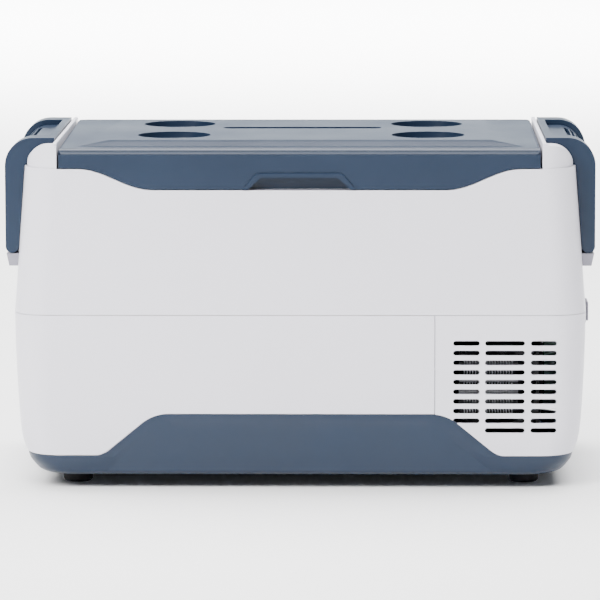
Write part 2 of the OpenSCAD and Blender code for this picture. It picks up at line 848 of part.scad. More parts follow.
module lid_foam()
    color([0.93, 0.86, 0.62])
    difference() {
        union() {
            rbox(-lid_half + 4, lid_half - 4, -half_d + 12, lid_back - 4, lid_bottom + 3,
                lid_edge_z - lid_wall - 0.5, 4);
            rbox(-214, 214, -120, 110, deck_z - 10.5, lid_bottom + 4, 12);
        }
        at_cups() translate([0, 0, -lid_wall - 0.5]) cylinder(h = 30, r = cup_r + lid_wall + 0.5);
    }

module lid_liner()
    color([0.86, 0.87, 0.88])
    difference() {
        union() {
            rbox(-lid_half + 3, lid_half - 3, -half_d + 11, lid_back - 3, lid_bottom + 0.6,
                lid_bottom + 2.6, 4);
            rbox(-217, 217, -123, 113, deck_z - 13, lid_bottom + 1, 14);
        }
        rbox(-214.5, 214.5, -120.5, 110.5, deck_z - 11, lid_bottom + 4, 12);
    }

module lid_gasket()
    color([0.20, 0.21, 0.23])
    difference() {
        rbox(-230, 230, -136, 126, deck_z + 1.7, lid_bottom + 0.5, 22);
        rbox(-220, 220, -126, 116, deck_z, lid_bottom + over, 14);
    }

module lid_hinge_leaves()
    color([0.62, 0.63, 0.65])
        for (s = [-1, 1])
            translate([s * hinge_x, 0, 0])
                difference() {
                    union() {
                        bar_x(hinge_r, -9.7, 9.7, hinge_y, hinge_z);
                        box(-9.7, 9.7, lid_back + 0.1, hinge_y, hinge_z - 4, hinge_z + 4);
                        box(-20, 20, lid_back + 0.1, lid_back + 1.3, rim_z + 3, rim_z + 18);
                    }
                    bar_x(hinge_pin_r + fit, -30, 30, hinge_y, hinge_z);
                    for (x = [-15, 15])
                        translate([x, lid_back, rim_z + 14]) rotate([-90, 0, 0])
                            cylinder(h = 3, r = 1.6);
                }

module hinge_brackets()
    color([0.62, 0.63, 0.65])
        for (s = [-1, 1])
            translate([s * hinge_x, 0, 0])
                difference() {
                    union() {
                        box(-24, 24, lid_back + 2, half_d - wall - 0.2, deck_z + 0.1, deck_z + 2.6);
                        for (x = [-20, 10])
                            translate([x, 0, 0]) {
                                bar_x(hinge_r, 0, 10, hinge_y, hinge_z);
                                box(0, 10, hinge_y - 4, hinge_y + 4, deck_z + 2, hinge_z);
                            }
                    }
                    bar_x(hinge_pin_r, -30, 30, hinge_y, hinge_z);
                }

module hinge_pins()
    color([0.70, 0.71, 0.73])
        for (s = [-1, 1])
            bar_x(hinge_pin_r, s * hinge_x - 20.5, s * hinge_x + 20.5, hinge_y, hinge_z);

// ---- feet and screws ----

module foot(i)
    color([0.09, 0.09, 0.10])
        translate([feet[i][0], feet[i][1], 0])
            difference() {
                rotate_extrude()
                    polygon([[0, 0], [foot_r - 2, 0], [foot_r - 0.6, 1.5], [foot_r, 10],
                        [foot_r, foot_h], [0, foot_h]]);
                translate([0, 0, -over]) cylinder(h = screw_seat_z + over, r = 5);
                cylinder(h = foot_h + over, r = foot_screw_r);
            }

module front_left_foot() foot(0);
module front_right_foot() foot(1);
module rear_left_foot() foot(2);
module rear_right_foot() foot(3);

module foot_screws()
    color([0.62, 0.63, 0.65])
        for (f = feet)
            translate([f[0], f[1], 0]) {
                translate([0, 0, screw_seat_z]) mirror([0, 0, 1]) cylinder(h = 2.6, r = 4);
                translate([0, 0, screw_seat_z - 0.1]) cylinder(h = 12, r = foot_screw_r);
            }

module base_screws()
    color([0.62, 0.63, 0.65])
        for (x = base_screws_x, s = [-1, 1])
            translate([x, s * base_screw_y, 0]) {
                translate([0, 0, foot_h - 2]) cylinder(h = 2, r = 3.5);
                translate([0, 0, foot_h - 0.1]) cylinder(h = 2.5, r = base_screw_r);
            }

module hinge_screws()
    color([0.55, 0.56, 0.58])
        for (s = [-1, 1], x = [-15, 15])
            translate([s * hinge_x + x, lid_back, rim_z + 14]) rotate([-90, 0, 0])
                cylinder(h = 1.9, r = 1.6);

base_tray();
lower_shell();
vent_housing();
upper_shell();
top_deck();
left_shoulder();
right_shoulder();
tub_liner();
tub_foam();
evaporator_sheet();
evaporator_tube();
wire_basket();
interior_lamp();
partition();
compressor_plate();
compressor_mounts();
compressor();
terminal_cover();
refrigerant_pipes();
filter_drier();
condenser();
fan_frame();
fan_rotor();
control_board();
rear_grille();
control_bezel();
display_board();
display_window();
power_button();
set_button();
up_button();
down_button();
power_socket();
socket_pins();
socket_cover();
left_handle();
right_handle();
left_handle_bracket();
right_handle_bracket();
left_handle_pins();
right_handle_pins();
lid_shell();
lid_foam();
lid_liner();
lid_gasket();
lid_hinge_leaves();
hinge_brackets();
hinge_pins();
front_left_foot();
front_right_foot();
rear_left_foot();
rear_right_foot();
foot_screws();
base_screws();
hinge_screws();
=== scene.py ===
# %% [markdown]
# # A portable compressor cooler, dressed in Blender
#
# The object is a top-opening fridge for a car boot or a caravan: two white shells joined at a
# seam, a blue base, lid and carry handles, and a compressor bay behind slots at one end. The
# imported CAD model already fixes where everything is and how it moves. What is missing is what
# the eye reads as a moulded product: soft edges, thin shut lines, draft, grain and gloss.
# So the outer mouldings and the wire basket are modelled again here, around the frame, and the
# smaller parts keep their CAD shape and get softened edges.

# %% Load the frame
import json
import math
import bmesh
import bpy
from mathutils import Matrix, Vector

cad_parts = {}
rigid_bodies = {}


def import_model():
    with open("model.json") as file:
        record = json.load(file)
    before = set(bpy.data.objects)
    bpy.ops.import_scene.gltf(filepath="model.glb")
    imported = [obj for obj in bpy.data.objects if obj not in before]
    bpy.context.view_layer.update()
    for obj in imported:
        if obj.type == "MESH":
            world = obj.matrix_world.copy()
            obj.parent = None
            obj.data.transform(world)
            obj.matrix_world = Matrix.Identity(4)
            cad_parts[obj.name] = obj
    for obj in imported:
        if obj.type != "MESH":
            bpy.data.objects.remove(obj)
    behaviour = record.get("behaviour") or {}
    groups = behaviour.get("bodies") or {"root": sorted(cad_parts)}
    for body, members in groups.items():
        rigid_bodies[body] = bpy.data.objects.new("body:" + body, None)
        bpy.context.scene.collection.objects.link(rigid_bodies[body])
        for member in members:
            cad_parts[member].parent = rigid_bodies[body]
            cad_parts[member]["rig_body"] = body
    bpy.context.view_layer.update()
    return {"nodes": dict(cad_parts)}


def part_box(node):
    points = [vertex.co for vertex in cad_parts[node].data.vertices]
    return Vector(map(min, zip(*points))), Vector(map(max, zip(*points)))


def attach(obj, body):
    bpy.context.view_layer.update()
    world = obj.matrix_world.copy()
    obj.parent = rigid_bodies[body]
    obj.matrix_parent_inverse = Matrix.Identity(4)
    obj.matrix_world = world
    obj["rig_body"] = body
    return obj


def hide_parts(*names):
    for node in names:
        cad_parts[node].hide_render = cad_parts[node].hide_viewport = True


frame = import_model()
NODES = frame["nodes"]

# %% [markdown]
# ## Measures
#
# The size of each moulding comes from the frame: a shell's width is its node's width. Only what
# a node's box doesn't say, such as an edge radius or the run of the slots, is written as a
# number, in metres or in millimetres times MM.

# %% Measures taken from the frame
MM = 0.001


def span(node):
    """Low and high corner of a node, as two plain tuples."""
    low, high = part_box(node)
    return tuple(low), tuple(high)


UPPER_LOW, UPPER_HIGH = span("upper_shell")
LOWER_LOW, LOWER_HIGH = span("lower_shell")
LID_HIGH = span("lid_shell")[1]
SEAM_Z = (UPPER_LOW[2] + LOWER_HIGH[2]) / 2
RIM_Z = UPPER_HIGH[2]
HALF_W = UPPER_HIGH[0]
HALF_D = UPPER_HIGH[1]
LEAN_IN = 11.5 * MM  # how far each side of the upper shell has come in at the rim
TOP_HALF_W = HALF_W - LEAN_IN
SPLIT_X = (LOWER_HIGH[0] + span("vent_housing")[0][0]) / 2
CORNER_R = 35 * MM
WALL = 3 * MM
SHUT = 0.2 * MM  # half the gap between two mouldings
BASE_TOP = LOWER_LOW[2]
FAR = 0.4  # past the object on every side, for solids that cut right through
print(f"seam {SEAM_Z:.4f}, rim {RIM_Z:.4f}, half width {HALF_W:.4f}, half depth {HALF_D:.4f}")

# %% [markdown]
# ## Working by hand, in code
#
# Each helper does one thing a modeller does with the mouse: start from a primitive, pick faces
# or edges, extrude, bevel, cut with another solid. They pick by place and by normal, so a step
# still works after the one before it changed the mesh.

# %% Selecting and editing


def clear():
    """Object mode, nothing selected."""
    if bpy.context.object and bpy.context.object.mode != "OBJECT":
        bpy.ops.object.mode_set(mode="OBJECT")
    bpy.ops.object.select_all(action="DESELECT")


def choose(obj):
    """Object mode with only this piece selected."""
    clear()
    obj.select_set(True)
    bpy.context.view_layer.objects.active = obj
    return obj


def edit(obj, mode="FACE"):
    """Edit mode with nothing selected, ready to pick faces, edges or vertices."""
    choose(obj)
    bpy.ops.object.mode_set(mode="EDIT")
    bpy.ops.mesh.select_mode(type=mode)
    bpy.ops.mesh.select_all(action="DESELECT")


def edit_all(obj):
    """Edit mode with the whole mesh selected."""
    edit(obj)
    bpy.ops.mesh.select_all(action="SELECT")


def pick_faces(obj, test):
    """Selects the faces whose centre and normal pass the test, and says how many."""
    edit(obj, "FACE")
    mesh = bmesh.from_edit_mesh(obj.data)
    for face in mesh.faces:
        face.select_set(test(face.calc_center_median(), face.normal))
    mesh.select_flush_mode()
    bmesh.update_edit_mesh(obj.data)
    return sum(f.select for f in mesh.faces)


def pick_edges(obj, test):
    """Selects the edges whose two ends pass the test, and says how many."""
    edit(obj, "EDGE")
    mesh = bmesh.from_edit_mesh(obj.data)
    for edge in mesh.edges:
        edge.select_set(test(edge.verts[0].co, edge.verts[1].co))
    mesh.select_flush_mode()
    bmesh.update_edit_mesh(obj.data)
    return sum(e.select for e in mesh.edges)


def pick_points(obj, test):
    """Selects the points that pass the test, and says how many."""
    edit(obj, "VERT")
    mesh = bmesh.from_edit_mesh(obj.data)
    for vert in mesh.verts:
        vert.select_set(test(vert.co))
    mesh.select_flush_mode()
    bmesh.update_edit_mesh(obj.data)
    return sum(v.select for v in mesh.verts)


# %% Solids to start from


def name_it(name):
    """Names the new primitive, and moves its place and size into its mesh."""
    obj = bpy.context.object
    obj.name = name
    obj.data.name = name
    bpy.ops.object.transform_apply(location=True, rotation=True, scale=True)
    return obj


def block(name, low, high):
    """A box between two corners."""
    clear()
    middle = [(a + b) / 2 for a, b in zip(low, high)]
    size = [abs(b - a) for a, b in zip(low, high)]
    bpy.ops.mesh.primitive_cube_add(size=1, location=middle, scale=size)
    return name_it(name)


def rod(name, radius, start, end, sides=48):
    """A round bar from one point to another."""
    clear()
    start, end = Vector(start), Vector(end)
    turn = (end - start).to_track_quat("Z", "Y").to_euler()
    bpy.ops.mesh.primitive_cylinder_add(vertices=sides, radius=radius, depth=(end - start).length,
                                        location=(start + end) / 2, rotation=turn)
    return name_it(name)


def outline(name, points, thick):
    """A flat polygon on the given points, pushed out by the vector thick."""
    clear()
    bpy.ops.mesh.primitive_circle_add(vertices=len(points), fill_type="NGON")
    obj = name_it(name)
    for vert, point in zip(obj.data.vertices, points):
        vert.co = point
    edit_all(obj)
    bpy.ops.mesh.extrude_region_move(TRANSFORM_OT_translate={"value": thick})
    bpy.ops.mesh.select_all(action="SELECT")
    bpy.ops.mesh.normals_make_consistent(inside=False)
    clear()
    return obj


def arc(cx, cz, radius, start, end, steps):
    """Points on a circle in the front view, from one angle to another, in degrees."""
    turns = [math.radians(start + (end - start) * k / steps) for k in range(steps + 1)]
    return [(cx + radius * math.cos(t), cz + radius * math.sin(t)) for t in turns]


def front(points, y):
    """Front-view points placed at depth y."""
    return [(x, y, z) for x, z in points]


# %% Shaping and finishing


def modify(obj, kind, **settings):
    """Adds a modifier, sets it and applies it."""
    choose(obj)
    modifier = obj.modifiers.new(kind.title(), kind)
    for key, value in settings.items():
        setattr(modifier, key, value)
    bpy.ops.object.modifier_apply(modifier=modifier.name)
    return obj


def combine(obj, other, how):
    """Cuts, joins or intersects a piece with another solid, which is used up."""
    modify(obj, "BOOLEAN", object=other, operation=how, solver="EXACT")
    bpy.data.objects.remove(other)
    return obj


def cut(obj, *cutters):
    """Takes each cutter out of the piece."""
    for cutter in cutters:
        combine(obj, cutter, "DIFFERENCE")
    return obj


def weld(obj, *others):
    """Adds each of the other solids to the piece."""
    for other in others:
        combine(obj, other, "UNION")
    return obj


def copy(obj, name):
    """The same piece again, with its own mesh."""
    twin = obj.copy()
    twin.data = obj.data.copy()
    twin.name = twin.data.name = name
    bpy.context.scene.collection.objects.link(twin)
    return twin


def bevel_picked(width, segments):
    """Rounds the edges that are picked."""
    bpy.ops.mesh.bevel(offset=width, segments=segments, profile=0.5, affect="EDGES",
                       clamp_overlap=True)
    clear()


def join_all(pieces, name):
    """Makes one piece of many, without cutting them into each other."""
    clear()
    for piece in pieces:
        piece.select_set(True)
    bpy.context.view_layer.objects.active = pieces[0]
    bpy.ops.object.join()
    joined = bpy.context.object
    joined.name = joined.data.name = name
    return joined


SAME_POINT = 0.02 * MM
NO_LENGTH = 0.004 * MM


def tidy_faces(obj):
    """Joins the flat pieces that a cut leaves behind, so that bevels run cleanly."""
    edit_all(obj)
    bpy.ops.mesh.remove_doubles(threshold=SAME_POINT)
    bpy.ops.mesh.dissolve_limited(angle_limit=math.radians(0.3))
    clear()
    return obj


def soft_edges(obj, width, segments=3, angle=32):
    """Rounds every edge sharper than the angle, then shades the rest smooth."""
    tidy_faces(obj)
    modify(obj, "BEVEL", width=width, segments=segments, limit_method="ANGLE",
           angle_limit=math.radians(angle), miter_outer="MITER_ARC", use_clamp_overlap=True,
           harden_normals=False)
    edit_all(obj)
    bpy.ops.mesh.dissolve_degenerate(threshold=NO_LENGTH)
    return shade(obj)


def shade(obj, angle=40):
    """Smooth shading, except over edges sharper than the angle."""
    choose(obj)
    bpy.ops.object.shade_smooth_by_angle(angle=math.radians(angle), keep_sharp_edges=True)
    modify(obj, "WEIGHTED_NORMAL", keep_sharp=True, weight=60, mode="FACE_AREA")
    clear()
    return obj


def mirrored(obj, name):
    """The same piece for the other end, with its faces turned the right way out."""
    twin = copy(obj, name)
    edit_all(twin)
    bpy.ops.transform.resize(value=(-1, 1, 1), center_override=(0, 0, 0))
    bpy.ops.mesh.flip_normals()
    clear()
    return shade(twin)


def settle(obj, body, slot, material, *nodes):
    """Gives a finished piece its material and the body it moves with, and hides the CAD nodes it
    replaces.
    """
    obj.data.materials.clear()
    obj.data.materials.append(material)
    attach(obj, body)
    if nodes:
        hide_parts(*nodes)
    print(f"{obj.name}: {len(obj.data.polygons)} faces on {body}")
    return obj


# %% [markdown]
# ## Materials
#
# Injection-moulded plastic is never one flat colour. The tool is spark-eroded, which leaves a
# fine even grain, the gloss varies a little over a large face, and pigment drifts by a percent
# or two. One recipe serves all the plastics: a broad noise shifts the colour and the gloss, and
# a fine noise gives the grain its bump. Sheet metals stretch the fine noise, so that their
# brushing runs one way. All of them read Object coordinates, because every piece keeps its place in its
# mesh.

# %% The node recipe


NOISE_LOW, NOISE_HIGH = 0.3, 0.7  # a noise seldom leaves this range
FINE_SHARE = 0.4  # how much of the gloss follows the fine grain
RELIEF_DEPTH = 0.4 * MM


def noise(tree, vector, scale, detail):
    """A noise texture that reads the given coordinates."""
    texture = tree.nodes.new("ShaderNodeTexNoise")
    texture.inputs["Scale"].default_value = scale
    texture.inputs["Detail"].default_value = detail
    tree.links.new(vector, texture.inputs["Vector"])
    return texture.outputs["Fac"]


def paint(name, colour, rough=0.45, spread=0.06, drift=0.03, grain=900, bump=0.08, stretch=(1, 1, 1),
          metallic=0.0, specular=0.5, coat=0.0):
    """A procedural material: broad drift of colour and gloss, and a fine grain in relief."""
    material = bpy.data.materials.new(name)
    material.use_nodes = True
    tree = material.node_tree
    nodes, links = tree.nodes, tree.links
    shader = nodes["Principled BSDF"]
    shader.inputs["Metallic"].default_value = metallic
    shader.inputs["Specular IOR Level"].default_value = specular
    shader.inputs["Coat Weight"].default_value = coat
    shader.inputs["Coat Roughness"].default_value = 0.25
    place = nodes.new("ShaderNodeTexCoord")
    mapping = nodes.new("ShaderNodeMapping")
    mapping.inputs["Scale"].default_value = stretch
    links.new(place.outputs["Object"], mapping.inputs["Vector"])
    broad = noise(tree, place.outputs["Object"], 9, 4)
    fine = noise(tree, mapping.outputs["Vector"], grain, 3)

    tint = nodes.new("ShaderNodeValToRGB")
    ends = tint.color_ramp.elements
    ends[0].position, ends[1].position = NOISE_LOW, NOISE_HIGH
    ends[0].color = (*[max(0.0, c * (1 - drift)) for c in colour], 1)
    ends[1].color = (*[min(1.0, c * (1 + drift)) for c in colour], 1)
    links.new(broad, tint.inputs["Fac"])
    links.new(tint.outputs["Color"], shader.inputs["Base Color"])

    part = nodes.new("ShaderNodeMath")
    part.operation = "MULTIPLY"
    part.inputs[1].default_value = 1 - FINE_SHARE
    links.new(broad, part.inputs[0])
    both = nodes.new("ShaderNodeMath")
    both.operation = "MULTIPLY_ADD"
    both.inputs[1].default_value = FINE_SHARE
    links.new(fine, both.inputs[0])
    links.new(part.outputs["Value"], both.inputs[2])
    gloss = nodes.new("ShaderNodeMapRange")
    gloss.inputs["From Min"].default_value = NOISE_LOW
    gloss.inputs["From Max"].default_value = NOISE_HIGH
    gloss.inputs["To Min"].default_value = max(0.02, rough - spread)
    gloss.inputs["To Max"].default_value = min(1.0, rough + spread)
    links.new(both.outputs["Value"], gloss.inputs["Value"])
    links.new(gloss.outputs["Result"], shader.inputs["Roughness"])

    relief = nodes.new("ShaderNodeBump")
    relief.inputs["Strength"].default_value = bump
    relief.inputs["Distance"].default_value = RELIEF_DEPTH
    links.new(fine, relief.inputs["Height"])
    links.new(relief.outputs["Normal"], shader.inputs["Normal"])
    return material


# %% The finishes
WHITE = paint("white_plastic", (0.70, 0.69, 0.755), rough=0.36, drift=0.012, bump=0.05)
BLUE = paint("blue_plastic", (0.0085, 0.0185, 0.040), rough=0.34, drift=0.07, bump=0.16, grain=1100,
             specular=0.34)
GREY = paint("light_grey_plastic", (0.24, 0.235, 0.28), rough=0.5, drift=0.03, bump=0.12)
LINER = paint("liner_plastic", (0.66, 0.68, 0.70), rough=0.3, drift=0.015, bump=0.03)
DARK = paint("black_plastic", (0.014, 0.014, 0.016), rough=0.5, drift=0.12, bump=0.15)
RUBBER = paint("rubber", (0.012, 0.012, 0.014), rough=0.78, drift=0.2, bump=0.3, grain=500)
FOAM = paint("foam", (0.80, 0.68, 0.36), rough=0.9, drift=0.1, bump=0.8, grain=300)
STEEL = paint("zinc_steel", (0.42, 0.43, 0.45), rough=0.34, drift=0.1, bump=0.1, metallic=1.0,
              stretch=(1, 1, 12), grain=160)
ALUMINIUM = paint("aluminium", (0.62, 0.63, 0.66), rough=0.4, drift=0.1, bump=0.08, metallic=1.0,
                  stretch=(1, 12, 1), grain=200)
FINS = paint("fin_sheet", (0.20, 0.20, 0.21), rough=0.45, drift=0.15, bump=0.08, metallic=1.0,
             stretch=(1, 1, 12), grain=200)
COPPER = paint("copper", (0.70, 0.31, 0.17), rough=0.32, drift=0.12, bump=0.06, metallic=1.0)
BLACK_STEEL = paint("black_paint", (0.012, 0.012, 0.013), rough=0.3, drift=0.1, bump=0.1, coat=0.3)
WIRE = paint("coated_wire", (0.72, 0.73, 0.75), rough=0.28, drift=0.03, bump=0.05)
BOARD = paint("circuit_board", (0.010, 0.085, 0.036), rough=0.42, drift=0.2, bump=0.2, grain=400)
WINDOW = paint("display_window", (0.006, 0.008, 0.012), rough=0.12, spread=0.03, bump=0.0,
               drift=0.1, coat=0.6)
LAMP = paint("lamp_lens", (0.85, 0.85, 0.80), rough=0.38, drift=0.02, bump=0.1)
CONTACT = paint("contact_brass", (0.75, 0.55, 0.22), rough=0.3, drift=0.1, bump=0.05, metallic=1.0)
print("finishes:", len(bpy.data.materials))

# %% [markdown]
# ## Outlines and stacked forms
#
# Two building blocks cover most of the body. The first turns a few corner points, each with a
# radius, into a smooth line, the way a draughtsman fillets a profile. The second is a rounded
# box whose plan changes with height, which is how a moulding with draft and bulging sides is
# drawn: start from a cube, bevel its upright corners, slice it level by level, and pull each
# slice in to its size.

# %% Filleted lines and stacked plans


def filleted(corners, steps=8):
    """A line through (x, z, radius) corners, with each corner replaced by its arc."""
    line = []
    for k, (x, z, radius) in enumerate(corners):
        here = Vector((x, z))
        if radius == 0:
            line.append((x, z))
            continue
        before = (Vector(corners[k - 1][:2]) - here).normalized()
        after = (Vector(corners[(k + 1) % len(corners)][:2]) - here).normalized()
        half = before.angle(after) / 2
        centre = here + (before + after).normalized() * (radius / math.sin(half))
        start = here + before * (radius / math.tan(half)) - centre
        turn = start.angle_signed(here + after * (radius / math.tan(half)) - centre)
        for n in range(steps + 1):
            a = -turn * n / steps
            line.append((centre.x + start.x * math.cos(a) - start.y * math.sin(a),
                         centre.y + start.x * math.sin(a) + start.y * math.cos(a)))
    return line


def stack(name, levels, radius, middle_y=0.0, segments=10):
    """A rounded box sliced at levels of (z, half width, half depth)."""
    z0, w0, d0 = levels[0]
    obj = block(name, (-w0, middle_y - d0, z0), (w0, middle_y + d0, levels[-1][0]))
    pick_edges(obj, lambda a, b: abs(a.z - b.z) > 0.001)
    bevel_picked(radius, segments)
    edit(obj)
    for z, _, _ in levels[1:-1]:
        bpy.ops.mesh.select_all(action="SELECT")
        bpy.ops.mesh.bisect(plane_co=(0, 0, z), plane_no=(0, 0, 1))
    for z, w, d in levels[1:]:
        pick_points(obj, lambda p: abs(p.z - z) < 0.00002)
        bpy.ops.transform.resize(value=(w / w0, d / d0, 1), center_override=(0, middle_y, 0))
    clear()
    return obj


def smooth_levels(points, steps):
    """Extra levels between the given (z, half width, half depth), on a smooth curve."""
    levels = []
    for k in range(len(points) - 1):
        p0, p1, p2, p3 = (points[max(0, min(len(points) - 1, k + n))] for n in (-1, 0, 1, 2))
        for n in range(steps):
            t = n / steps
            levels.append(tuple(
                0.5 * (2 * b + (c - a) * t + (2 * a - 5 * b + 4 * c - d) * t * t
                       + (3 * b - a - 3 * c + d) * t ** 3)
                for a, b, c, d in zip(p0, p1, p2, p3)))
    return levels + [points[-1]]


def hollow(obj, wall):
    """Opens the top and bottom of a stacked form and gives its skin a thickness inwards."""
    pick_faces(obj, lambda c, n: abs(n.z) > 0.9 and abs(c.x) < 0.01)
    bpy.ops.mesh.delete(type="FACE")
    return modify(obj, "SOLIDIFY", thickness=wall, offset=-1, use_even_offset=True)


# %% [markdown]
# ## The lower shell and the vent housing
#
# On the real fridge these are two mouldings that follow the same outer surface: the long one
# wraps the tub and the short one carries the slots in front of the condenser. The surface bulges
# out at the seam and tucks in towards the base. Both are cut from one hollow form, so that the
# surfaces line up across the split, and the arch that the base fills is cut through both.

# %% One form for both lower mouldings
# millimetres below the seam, and how far each side has come in there
PULL_IN = [(0, 0), (35, 0.7), (80, 2.6), (122, 5.8), (141.5, 12)]
lower_levels = smooth_levels([(SEAM_Z - SHUT - drop * MM, HALF_W - pull * MM, HALF_D)
                              for drop, pull in PULL_IN], 3)
lower_levels[-1] = (BASE_TOP, HALF_W - PULL_IN[-1][1] * MM, HALF_D)
lower_form = hollow(stack("lower_form", lower_levels, CORNER_R), WALL)

ARCH_FOOT, ARCH_SHOULDER, ARCH_TOP = 0.198, 0.146, 0.0765
FOOT_BEND, SHOULDER_BEND = 26 * MM, 42 * MM
ARCH_LOW = BASE_TOP - 0.5 * MM
ARCH = [(-ARCH_FOOT, ARCH_LOW, FOOT_BEND), (-ARCH_SHOULDER, ARCH_TOP, SHOULDER_BEND),
        (ARCH_SHOULDER, ARCH_TOP, SHOULDER_BEND), (ARCH_FOOT, ARCH_LOW, FOOT_BEND)]
arch_line = filleted([(-FAR, ARCH_LOW, 0)] + ARCH + [(FAR, ARCH_LOW, 0)], 12)
under_arch = arch_line + [(FAR, -FAR), (-FAR, -FAR)]
cut(lower_form, outline("arch_cutter", front(under_arch, -FAR), (0, 2 * FAR, 0)))
print("levels:", len(lower_levels), "arch points:", len(arch_line))

# %% The long moulding around the tub
lower = copy(lower_form, "lower_shell_moulding")
combine(lower, block("left_of_split", (-FAR, -FAR, 0), (SPLIT_X - SHUT, FAR, FAR)), "INTERSECT")
soft_edges(lower, 1.1 * MM)
settle(lower, "body", "white_shell", WHITE, "lower_shell")

# %% [markdown]
# The housing's slots are what the eye finds first on this end. Each is a thin stadium shape cut
# straight through the wall, ten rows of three, with the last row left out on the left where the
# arch comes up. Its rims are rounded a little, because a moulding tool has no razor edge.

# %% The slots
SLOT_SPANS = [(0.1530, 0.1795), (0.1848, 0.2245), (0.2303, 0.2562)]
SLOT_TOP, SLOT_PITCH, SLOT_R, SLOT_ROWS = 0.148, 9.75 * MM, 2.5 * MM, 10
SLOT_REACH = 15 * MM


def slot_cutter(x0, x1, z):
    """A stadium-shaped bar that passes through the front wall."""
    ends = arc(x1 - SLOT_R, z, SLOT_R, -90, 90, 8) + arc(x0 + SLOT_R, z, SLOT_R, 90, 270, 8)
    return outline("slot", front(ends, -HALF_D - SLOT_REACH), (0, 2 * SLOT_REACH, 0))


slots = [slot_cutter(x0, x1, SLOT_TOP - row * SLOT_PITCH)
         for row in range(SLOT_ROWS) for col, (x0, x1) in enumerate(SLOT_SPANS)
         if row < SLOT_ROWS - 1 or col > 0]
slot_set = join_all(slots, "slot_set")
print("slots:", len(slots))

# %% The housing around the slots
housing = lower_form
housing.name = housing.data.name = "vent_housing_moulding"
combine(housing, block("right_of_split", (SPLIT_X + SHUT, -FAR, 0), (FAR, FAR, FAR)), "INTERSECT")
grille_low, grille_high = span("rear_grille")
socket_low, socket_high = span("power_socket")
SIDE_LIP, EDGE_LIP, SOCKET_LIP = 7 * MM, 6 * MM, 3 * MM  # what a flange covers round its opening
cut(housing, slot_set,
    block("grille_opening", (grille_low[0] + SIDE_LIP, HALF_D - 5 * WALL, grille_low[2] + EDGE_LIP),
          (grille_high[0] - SIDE_LIP, HALF_D + 5 * WALL, grille_high[2] - EDGE_LIP)),
    block("socket_opening", (socket_low[0], socket_low[1] + SOCKET_LIP, socket_low[2] + SOCKET_LIP),
          (FAR, socket_high[1] - SOCKET_LIP, socket_high[2] - SOCKET_LIP)))
soft_edges(housing, 0.35 * MM, 2)
settle(housing, "body", "white_shell", WHITE, "vent_housing")

# %% [markdown]
# At the back the air leaves through a louvred grille, a separate moulding that clips into its
# opening. Its flange lies on the shell, and its slats slope down outwards to keep rain out. One
# slat is a leaning four-sided section pushed along the width, and the rest are copies of it.

# %% The louvred grille
FLANGE_Y = HALF_D + 0.1 * MM
PLUG_X, PLUG_Z = 8 * MM, 7 * MM  # from the flange's edge to the plug behind it
OPEN_X, OPEN_Z = 13 * MM, 12.4 * MM  # and to the opening
LOUVRE_PITCH, LOUVRES, SPARE = 9.6 * MM, 8, 1 * MM
grille = block("rear_grille_moulding", (grille_low[0], FLANGE_Y, grille_low[2]), grille_high)
pick_edges(grille, lambda a, b: abs(a.y - b.y) > 1 * MM)
bevel_picked(6 * MM, 6)
weld(grille, block("plug", (grille_low[0] + PLUG_X, grille_low[1], grille_low[2] + PLUG_Z),
                   (grille_high[0] - PLUG_X, FLANGE_Y + 0.5 * MM, grille_high[2] - PLUG_Z)))
open_x0, open_x1, open_z = grille_low[0] + OPEN_X, grille_high[0] - OPEN_X, grille_low[2] + OPEN_Z
cut(grille, block("opening", (open_x0, HALF_D - 5 * WALL, open_z),
                  (open_x1, HALF_D + 5 * WALL, open_z + LOUVRES * LOUVRE_PITCH + 4 * MM)))

# %% Its slats
in_y, out_y = grille_low[1] + 0.3 * MM, grille_high[1] - 0.5 * MM
lean_section = [(in_y, 2.6 * MM), (out_y, 0), (out_y, 4 * MM), (in_y, 6.2 * MM)]
slat = outline("slat", [(open_x0 - SPARE, y, open_z + 3.4 * MM + z) for y, z in lean_section],
               (open_x1 - open_x0 + 2 * SPARE, 0, 0))
for k in range(LOUVRES):
    twin = choose(copy(slat, "slat_copy"))
    bpy.ops.transform.translate(value=(0, 0, k * LOUVRE_PITCH))
    bpy.ops.object.transform_apply(location=True)
    weld(grille, twin)
bpy.data.objects.remove(slat)
soft_edges(grille, 0.35 * MM, 2)
settle(grille, "body", "white_shell", WHITE, "rear_grille")

# %% [markdown]
# ## The upper shell
#
# The upper moulding leans in by a few degrees and carries the lid and the handles. Its front is
# cut down in a shallow S on each side, where the skirt of the lid dips for the fingers, and its
# right end has a window for the control panel.

# %% The skirt line
SKIRT_END, SKIRT_MID, SKIRT_DROP = 0.220, 0.146, 21 * MM
SKIRT_GAP = 0.9 * MM


def skirt_z(x):
    """Height of the skirt's lower edge at a distance from the middle."""
    t = min(1.0, max(0.0, (SKIRT_END - abs(x)) / (SKIRT_END - SKIRT_MID)))
    return RIM_Z - SKIRT_DROP * (1 - math.cos(math.pi * t)) / 2


def skirt_outline(drop, half, top, steps=72):
    """The front view of all that lies above the skirt line, lowered by drop."""
    xs = [-half + 2 * half * k / steps for k in range(steps + 1)]
    return [(x, skirt_z(x) - drop) for x in xs] + [(half, top), (-half, top)]


# %% The leaning side
FLARE = math.atan(LEAN_IN / (RIM_Z - SEAM_Z))
PANEL_Z = RIM_Z - 61 * MM


def side_x(z):
    """How far out the right side is at a height."""
    return HALF_W - (z - SEAM_Z) * math.tan(FLARE)


def lean(obj):
    """Turns a piece made upright at the control panel so that it lies on the leaning side."""
    edit_all(obj)
    bpy.ops.transform.rotate(value=FLARE, orient_axis="Y",
                             center_override=(side_x(PANEL_Z), 0, PANEL_Z))
    clear()
    return obj


